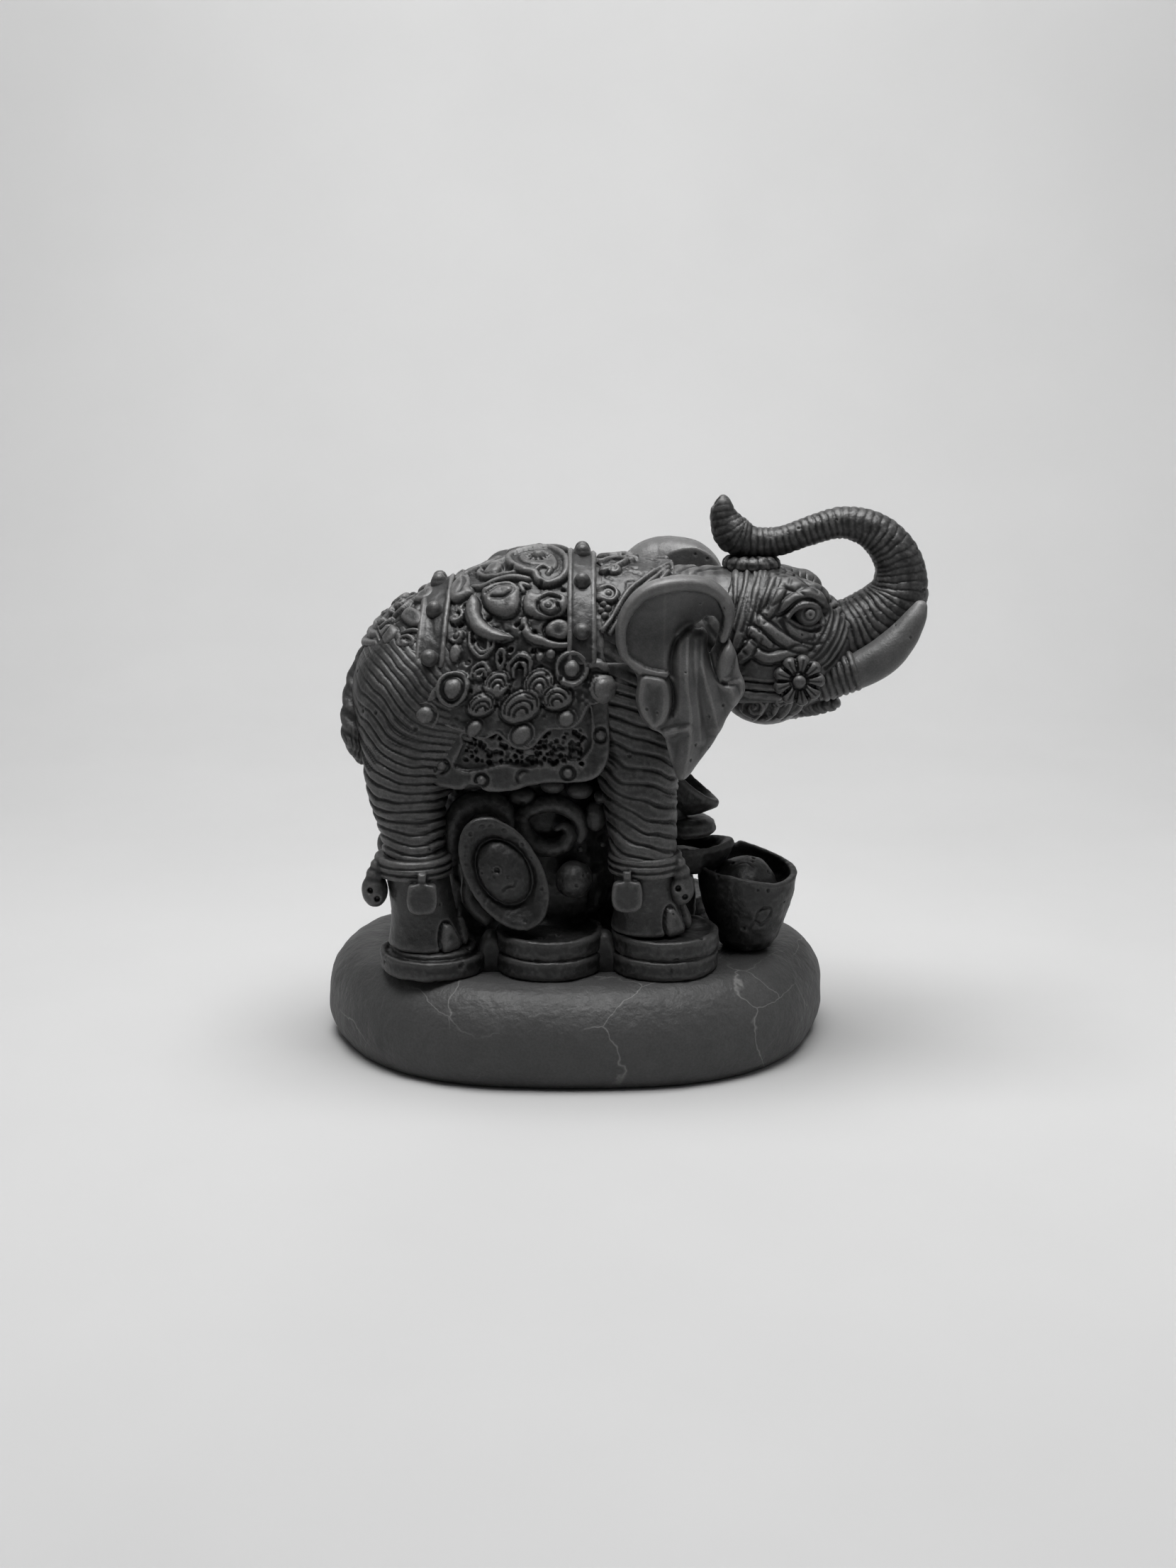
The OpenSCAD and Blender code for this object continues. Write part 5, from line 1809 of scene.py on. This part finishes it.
def build_clouds():
    lo, hi = ends("cloud_mass")
    top = min(hi[2], 84.0)
    clay = Clay((lo[0] - 9.6, -21.6, lo[2] - 0.5), (hi[0] + 7.0, 0.4, top), 0.4)
    clay.add(egg((-11.6, 0, 52), (24.0, 14.6, 44)), 2.0)
    clay.add(egg((-12, 0, 28), (24, 17.5, 9)), 2.0)
    for x in (-20.6, 7.2):
        clay.add(egg((x, -18.5, 26.0), (3.4, 5.0, 8.0)), 1.5)
    y = -15.0
    arch = [
        (-30.6, 51, 2.2), (-30.0, 57.7, 2.7), (-28.0, 62.6, 3.0), (-24.6, 65.2, 3.1), (-20.4, 65.4, 3.0),
        (-17.4, 63.2, 2.6), (-15.8, 60.0, 1.9)
    ]
    clay.tube([(x, y - 0.6, z, r) for x, z, r in arch], 0.3)
    coil = [
        (-12.8, 61.4, 1.6), (-12.2, 58.0, 2.1), (-9.8, 55.2, 2.4), (-6.0, 54.2, 2.4), (-2.6, 55.2, 2.1),
        (-1.3, 57.8, 1.7), (-2.5, 59.7, 1.3), (-4.4, 59.2, 0.9)
    ]
    clay.tube([(x, y - 1.7, z, r) for x, z, r in coil], 0.15)
    hood = [
        (-13.6, 61.6, 1.7), (-10.6, 63.8, 2.1), (-6.6, 65.0, 2.2), (-2.6, 64.4, 2.2), (0.6, 61.9, 2.0),
        (1.8, 58.6, 1.6), (1.2, 55.8, 1.0)
    ]
    clay.tube([(x, y - 0.9, z, r) for x, z, r in hood], 0.15)
    clay.cut(egg((-5.0, y - 2.2, 59.4), (2.6, 2.6, 2.4)), 0.4)
    clay.tube([(x, y - 1.9, z, r) for x, z, r in coil[4:]], 0.1)
    for x, z, a, b in (
        (-12.6, 66.6, 3.4, 2.2), (5.0, 61.6, 2.6, 3.8), (1.2, 68.2, 3.2, 2.2), (-24.6, 70.4, 4.0, 2.2),
        (-5.4, 69.4, 3.0, 2.0), (6.4, 66.6, 1.8, 1.6)
    ):
        clay.add(egg((x, y, z), (a, 2.4, b)), 0.3)
    clay.tube([(1.4, y - 1.0, 53.6, 0.8), (6.8, y, 54.6, 0.8)], 0.3)
    clay.tube([(-26.4, y + 0.5, 46, 1.5), (-26.0, y, 40, 1.7), (-22.0, y, 35.2, 1.7)], 0.4)
    right = clay.mesh()
    inner = right.points[:, 1] > -0.6
    right.points[inner, 1] = np.minimum(right.points[inner, 1], 0.0)
    x, y_, z = right.points.T
    sunk = smooth_step((-y_ - 13.0) / 2.0)
    right.push(-0.5 * (1 - sunk) * smooth_step(noise(right.points, 2.4, 101) * 1.6) * (y_ < -1.5))
    right.push(0.10 * noise(right.points, 1.1, 102) * (y_ < -1.0))
    skin = right.joined(right.mirrored())
    set_piece("cloud_mass", skin, "cast_treasure")


def build_ingot_pile():
    lo, hi = ends("ingot_pile")
    x = hi[0] - 15.0
    clay = Clay(lo - (0.5, 2.5, 0.5), hi + (3.4, 2.5, 8.0), 0.36)
    clay.add(egg((x - 2, 0, stone_top + 12), (8.5, 8, 14)), 0.0)
    clay.add(egg((22.0, 0, 60.0), (6.0, 5.4, 9.0)), 0.0)
    clay.add(turned(np.eye(3), (26.2, 0, 43.9), boat_form(13.8, 7.8, 6.9, 7.6, 5.0, 3.0)), 0.4)
    clay.add(
        lathe([(0, 0), (7.0, 0), (8.0, 1.4), (7.4, 3.2), (5.6, 4.2), (0, 4.2)], (27.4, 0, 53.5), 3.0), 0.3
    )
    tilt = math.radians(46)
    long = (math.cos(tilt), 0, -math.sin(tilt))
    up = (math.sin(tilt), 0, math.cos(tilt))
    boat = boat_form(13.2, 7.6, 7.4, 6.4, 5.0, 3.0)
    skin = clay.add(turned([long, (0, 1, 0), up], (21.0, 0, 64.6), boat), 0.4).mesh()
    rough_cast(skin, 0.14, 2.6, 104)
    rough_cast(skin, 0.06, 1.0, 105)
    set_piece("ingot_pile", skin, "cast_treasure")


def build_front_ingot():
    lo, hi = ends("front_ingot")
    r = (hi[1] - lo[1]) / 2
    x, y = hi[0] - r - 1.0, (hi[1] + lo[1]) / 2
    base = lo[2]
    clay = Clay((x - r - 2.4, lo[1] - 2.4, base - 0.6), (x + r + 2.4, hi[1] + 2.4, hi[2] + 6.0), 0.34)
    profile = [
        (0, 0), (5.2, 0.0), (6.6, 0.9), (7.8, 3.0), (9.4, 6.8), (11.0, 11.5), (12.1, 15.5), (12.6, 19.5),
        (12.9, 30), (11.7, 30), (11.3, 21), (10.2, 17.5), (8.0, 14.5), (0, 13.0),
    ]
    clay.add(lathe(profile, (x, y, base), 3.0))
    lean = math.radians(8)

    def rim(px, py, pz):
        """Space above the slanting, slightly wavy rim."""
        wave = 0.7 * np.cos((px - x) * 0.26 + 0.9) - 0.11 * (px - x)
        return -((pz - base - 21.9 - wave) * math.cos(lean) - (py - y) * math.sin(lean))

    clay.cut(rim, 0.6)
    clay.add(egg((x - 0.6, y - 0.8, base + 15.6), (8.3, 8.6, 8.0)), 0.3)
    for a in (62, 70, 101, 118):
        spot = (
            x + (r - 1) * math.cos(math.radians(a)), y + (r - 0.4) * math.sin(math.radians(a)), base + 24.6
        )
        clay.cut(egg(spot, (1.3, 1.6, 1.1)), 0.3)
    skin = clay.mesh()
    rough_cast(skin, 0.22, 5.0, 106)
    n = skin.normals()
    side = smooth_step(-n[:, 1] * 2.0)
    chart = side_chart(skin, side)
    for line in (
        [(x - 0.2, base + 7), (x + 1.4, base + 9.4), (x + 3.0, base + 8.4), (x + 4.8, base + 9.6)],
        [(x + 1.4, base + 9.4), (x + 2.2, base + 12.4), (x + 4.6, base + 13.2), (x + 5.6, base + 12.4)],
        [(x + 5.6, base + 12.4), (x + 5.0, base + 10.6), (x + 3.0, base + 8.4)],
    ):
        chart.groove(line, 0.3, 0.5, 0.5)
    top = Chart(skin, skin.points[:, 0], skin.points[:, 1], smooth_step(n[:, 2] * 2.0))
    top.groove([(x - 3.5, y - 4.4), (x - 0.6, y - 4.0), (x + 1.2, y - 5.6)], 0.3, 0.35, 0.5)
    top.groove([(x - 0.6, y - 4.0), (x - 0.2, y - 0.6), (x + 2.2, y + 1.0)], 0.3, 0.35, 0.5)
    skin.chase()
    rough_cast(skin, 0.08, 1.1, 107)
    low_part = smooth_step((base + 9 - skin.points[:, 2]) / 5.0)
    skin.push(0.3 * noise(skin.points, 2.2, 108) * low_part)
    pinholes(skin, 20, 109)
    set_piece("front_ingot", skin, "cast_treasure")


def build_plinth():
    lo, hi = ends("plinth")
    cy = (lo[1] + hi[1]) / 2
    half_l, half_w = (hi[0] - lo[0]) / 2, (hi[1] - lo[1]) / 2
    corner = half_w * 0.66
    hexagon = []
    for s in (1, -1):
        row = [
            (half_l - corner, -2), (half_l - corner - 4, half_w - corner),
            (half_l - corner - 14, corner - half_w)
        ]
        hexagon += [(s * a, cy + b) for a, b in (row[2], row[0], row[1])[:: int(s)]]
    hexagon = np.array(hexagon)
    clay = Clay(lo - 1.8, hi + 1.8, 0.72)
    _, x, y, z = clay.window()
    u, v = np.broadcast_arrays(x[:, :, 0].astype(float), y[:, :, 0][0][:, None].T.astype(float))
    flat = (outline_distance(u, v, loop(hexagon, 6)) - corner)[:, :, None]
    widest = 9.4

    def rounded(half_height, inset, level):
        px = np.maximum(flat + inset, 0.0) / inset
        pz = level / half_height
        k0 = np.sqrt(px * px + pz * pz)
        k1 = np.sqrt((px / inset) ** 2 + (pz / half_height) ** 2)
        return k0 * (k0 - 1.0) / np.maximum(k1, 1e-4)

    upper = rounded(hi[2] - widest, 10.9, z - widest)
    under = np.maximum(rounded(10.4, 5.6, widest - z), lo[2] - z + 0 * flat)
    clay.d = np.where(z > widest, upper, under).astype(np.float32)
    skin = clay.mesh()
    p = skin.points
    free = smooth_step((p[:, 2] - lo[2] - 0.4) / 2.0)
    under_cast = smooth_step((p[:, 2] - stone_top + 1.2) / 0.8) * (np.abs(p[:, 0] - 3) < 62)
    skin.push(0.55 * noise(p, 19.0, 110) * free * (1 - 0.8 * under_cast))
    skin.push((0.16 * noise(p, 4.2, 111) + 0.10 * noise(p, 1.9, 112)) * free)
    set_piece("plinth", skin, "slate")


# ---- materials ----


def grey(value, warm=0.0):
    return (value * (1 + warm), value, value * (1 - warm), 1.0)


class Paint:
    """A material's node tree, with short ways to add the nodes that are used here."""

    def __init__(self, name):
        self.material = bpy.data.materials.new(name)
        self.material.use_nodes = True
        self.tree = self.material.node_tree
        self.tree.nodes.clear()
        out = self.add("OutputMaterial")
        self.shader = self.add("BsdfPrincipled")
        self.tree.links.new(self.shader.outputs["BSDF"], out.inputs["Surface"])
        self.place = self.add("TexCoord").outputs["Object"]

    def feed(self, socket, value):
        """Links the value when it is another node's output, and sets it when it is a constant."""
        if isinstance(value, bpy.types.NodeSocket):
            self.tree.links.new(value, socket)
        else:
            socket.default_value = value

    def add(self, kind, **inputs):
        node = self.tree.nodes.new("ShaderNode" + kind)
        for name, value in inputs.items():
            self.feed(node.inputs[name], value)
        return node

    def noise(self, scale, detail=3.0, rough=0.6):
        return self.add(
            "TexNoise", Vector=self.place, Scale=scale, Detail=detail, Roughness=rough
        ).outputs["Fac"]

    def ramp(self, fac, *stops):
        """Greys, or colours, at places from 0 to 1."""
        node = self.add("ValToRGB", Fac=fac)
        marks = node.color_ramp.elements
        while len(marks) < len(stops):
            marks.new(0.5)
        for mark, (place, colour) in zip(marks, stops):
            mark.position = place
            mark.color = colour if isinstance(colour, tuple) else grey(colour)
        return node.outputs["Color"]

    def mix(self, fac, a, b, blend="MULTIPLY"):
        node = self.add("Mix")
        node.data_type = "RGBA"
        node.blend_type = blend
        colours = [socket for socket in node.inputs if socket.type == "RGBA"]
        self.feed(node.inputs["Factor"], fac)
        self.feed(colours[0], a)
        self.feed(colours[1], b)
        return [socket for socket in node.outputs if socket.type == "RGBA"][0]

    def bump(self, height, distance, strength, **below):
        return self.add(
            "Bump", Height=height, Distance=distance, Strength=strength, **below
        ).outputs["Normal"]

    def finish(self, colour, rough, normal=None):
        self.feed(self.shader.inputs["Base Color"], colour)
        self.feed(self.shader.inputs["Roughness"], rough)
        if normal is not None:
            self.feed(self.shader.inputs["Normal"], normal)
        return self.material


def cast_material(name, hollow, plain, edge_wear_and_highlight, smooth, rough, speckle=0.5):
    """Charcoal casting: near black in the hollows as painted shade, grey on the edges as wear and a painted
    highlight, with a sandy speckle.
    """
    paint = Paint(name)
    tone = paint.add("Attribute")
    tone.attribute_name = "tone"
    # painted shade darkens the hollows; wear and a painted highlight pale the edges
    stops = (0.14, hollow), (0.46, plain * 0.86), (0.58, plain * 1.25), (0.88, grey(edge_wear_and_highlight, 0.01))
    base = paint.ramp(tone.outputs["Fac"], *stops)
    base = paint.mix(0.75, base, paint.ramp(paint.noise(90.0, 4.0), (0.3, 0.72), (0.7, 1.25)))
    sand = paint.ramp(paint.noise(2400.0, 2.0, 0.7), (0.36, 0.62), (0.52, 1.0), (0.68, 1.5))
    fine = paint.bump(paint.noise(1500.0, 3.0, 0.7), 0.00012, 0.8)
    coarse = paint.bump(paint.noise(520.0, 2.0, 0.5), 0.00012, 0.5, Normal=fine)
    smear = paint.ramp(paint.noise(160.0), (0.3, smooth), (0.7, rough))
    return paint.finish(paint.mix(speckle, base, sand), smear, coarse)


def slate_material():
    """Honed slate: even dark grey, finely pitted, with a few thin pale veins."""
    paint = Paint("slate_stone")
    drift = paint.add("TexNoise", Vector=paint.place, Scale=28.0, Detail=5.0)
    bent = paint.add("VectorMath")
    bent.operation = "MULTIPLY_ADD"
    for socket, value in zip(bent.inputs, (drift.outputs["Color"], (0.030, 0.030, 0.030), paint.place)):
        paint.feed(socket, value)
    cells = paint.add("TexVoronoi")
    cells.feature = "DISTANCE_TO_EDGE"
    paint.feed(cells.inputs["Vector"], bent.outputs["Vector"])
    paint.feed(cells.inputs["Scale"], 26.0)
    vein = paint.ramp(cells.outputs["Distance"], (0.0, 0.62), (0.0022, 0.30), (0.0055, 0.0))
    vein = paint.mix(1.0, vein, paint.ramp(paint.noise(34.0, 2.0), (0.46, 0.0), (0.60, 1.0)))
    body = paint.ramp(paint.noise(60.0, 5.0), (0.3, 0.048), (0.7, 0.060))
    body = paint.mix(0.7, body, paint.ramp(paint.noise(1800.0, 2.0), (0.35, 0.84), (0.65, 1.16)))
    body = paint.mix(vein, body, (0.26, 0.26, 0.255, 1.0), "MIX")
    fine = paint.bump(paint.noise(900.0, 4.0), 0.00018, 0.8)
    dimples = paint.bump(paint.noise(620.0, 2.0, 0.5), 0.0003, 0.9, Normal=fine)
    rough = paint.ramp(paint.noise(220.0), (0.3, 0.50), (0.7, 0.62))
    return paint.finish(body, rough, dimples)


# Each casting finish: grey in the hollows (painted shade), on the plain skin and on the edges (wear and a
# painted highlight), then its roughness.
MATERIALS = {
    "slate": slate_material(),
    "cast_skin": cast_material("cast_skin_finish", 0.004, 0.019, 0.080, 0.33, 0.50),
    "cast_harness": cast_material("cast_harness_finish", 0.004, 0.022, 0.090, 0.33, 0.50),
    # treasure: about half as pale as the other castings, as painted shade, since it sits low, under and round
    # the elephant
    "cast_treasure": cast_material("treasure_painted_shade_finish", 0.003, 0.010, 0.042, 0.38, 0.56),
    # eyes, tusks and ears: paler all over, with lighter hollows, as a painted sheen
    "cast_polished": cast_material("painted_sheen_cast_finish", 0.042, 0.056, 0.140, 0.33, 0.46, 0.35),
}


# ---- floor, light and camera, in metres ----


def link(name, data):
    obj = bpy.data.objects.new(name, data)
    bpy.context.scene.collection.objects.link(obj)
    return obj


def build_stage():
    """A pale sweep: a floor that curves up into a back wall."""
    bend_y, radius, steps = 0.32, 0.30, 12
    half, wall_top = 2.4, 2.2
    turns = [math.pi / 2 * i / steps for i in range(1, steps + 1)]
    profile = [(-half, 0.0), (bend_y, 0.0)]
    profile += [(bend_y + radius * math.sin(a), radius * (1 - math.cos(a))) for a in turns]
    profile += [(bend_y + radius, wall_top)]
    points = [(x, y, z) for y, z in profile for x in (-half, half)]
    faces = [(2 * i, 2 * i + 1, 2 * i + 3, 2 * i + 2) for i in range(len(profile) - 1)]
    mesh = bpy.data.meshes.new("sweep")
    mesh.from_pydata(points, [], faces)
    mesh.polygons.foreach_set("use_smooth", np.ones(len(faces), bool))
    paint = Paint("paper")
    mesh.materials.append(paint.finish(paint.ramp(paint.noise(9.0), (0.3, 0.475), (0.7, 0.495)), 0.75))
    sweep = link("sweep", mesh)
    sweep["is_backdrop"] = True


def area_light(name, place, target, size, power):
    light = bpy.data.lights.new(name, "AREA")
    light.shape = "RECTANGLE"
    light.size, light.size_y = size
    light.energy = power
    obj = link(name, light)
    obj.location = place
    obj.rotation_euler = (Vector(target) - Vector(place)).to_track_quat("-Z", "Y").to_euler()


def build_lights():
    middle = (0.0, 0.0, 0.07)
    area_light("top", (0.0, -0.03, 0.72), (0.0, 0.0, 0.06), (0.58, 0.46), 8.2)
    area_light("left", (-0.75, -0.05, 0.40), middle, (0.5, 0.5), 0.3)
    area_light("right", (0.75, -0.05, 0.40), middle, (0.5, 0.5), 0.5)
    area_light("backdrop", (0.0, 0.20, 0.62), (0.0, 1.0, 0.62), (0.9, 0.12), 3.0)
    bpy.context.scene.view_settings.view_transform = "Standard"
    world = bpy.data.worlds.new("room")
    world.use_nodes = True
    background = world.node_tree.nodes["Background"]
    background.inputs["Color"].default_value = (0.95, 0.97, 1.0, 1.0)
    background.inputs["Strength"].default_value = 0.05
    bpy.context.scene.world = world


def build_camera():
    """At the height and distance of someone looking slightly down across a table."""
    target = Vector((0.0032, 0.0, 0.066))
    distance, elevation = 0.560, math.radians(14.0)
    back = Vector((0.0, -math.cos(elevation), math.sin(elevation)))
    camera = bpy.data.cameras.new("camera")
    camera.lens = 51.5
    camera.sensor_width = 36.0
    camera.clip_start = 0.01
    obj = link("camera", camera)
    obj.location = target + back * distance
    obj.rotation_euler = (-back).to_track_quat("-Z", "Y").to_euler()
    bpy.context.scene.camera = obj


# ---- all of it ----

for build in (
    build_plinth, build_coins, build_body, build_front_legs, build_rear_legs, build_anklets, build_tail,
    build_head, build_eyes, build_trunk, build_tusks, build_sheaths, build_lip, build_crown_pad,
    build_rosettes, build_bridles, build_ears, build_saddle, build_skirts, build_rump_cloth, build_neck_cloth,
    build_girths, build_studs, build_side_ingots, build_pearls, build_back_pearl, build_clouds,
    build_ingot_pile, build_front_ingot, build_stage, build_lights, build_camera,
):
    build()

[[list(map(float, corner)) for corner in box] for box in (cad_bounds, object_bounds())]
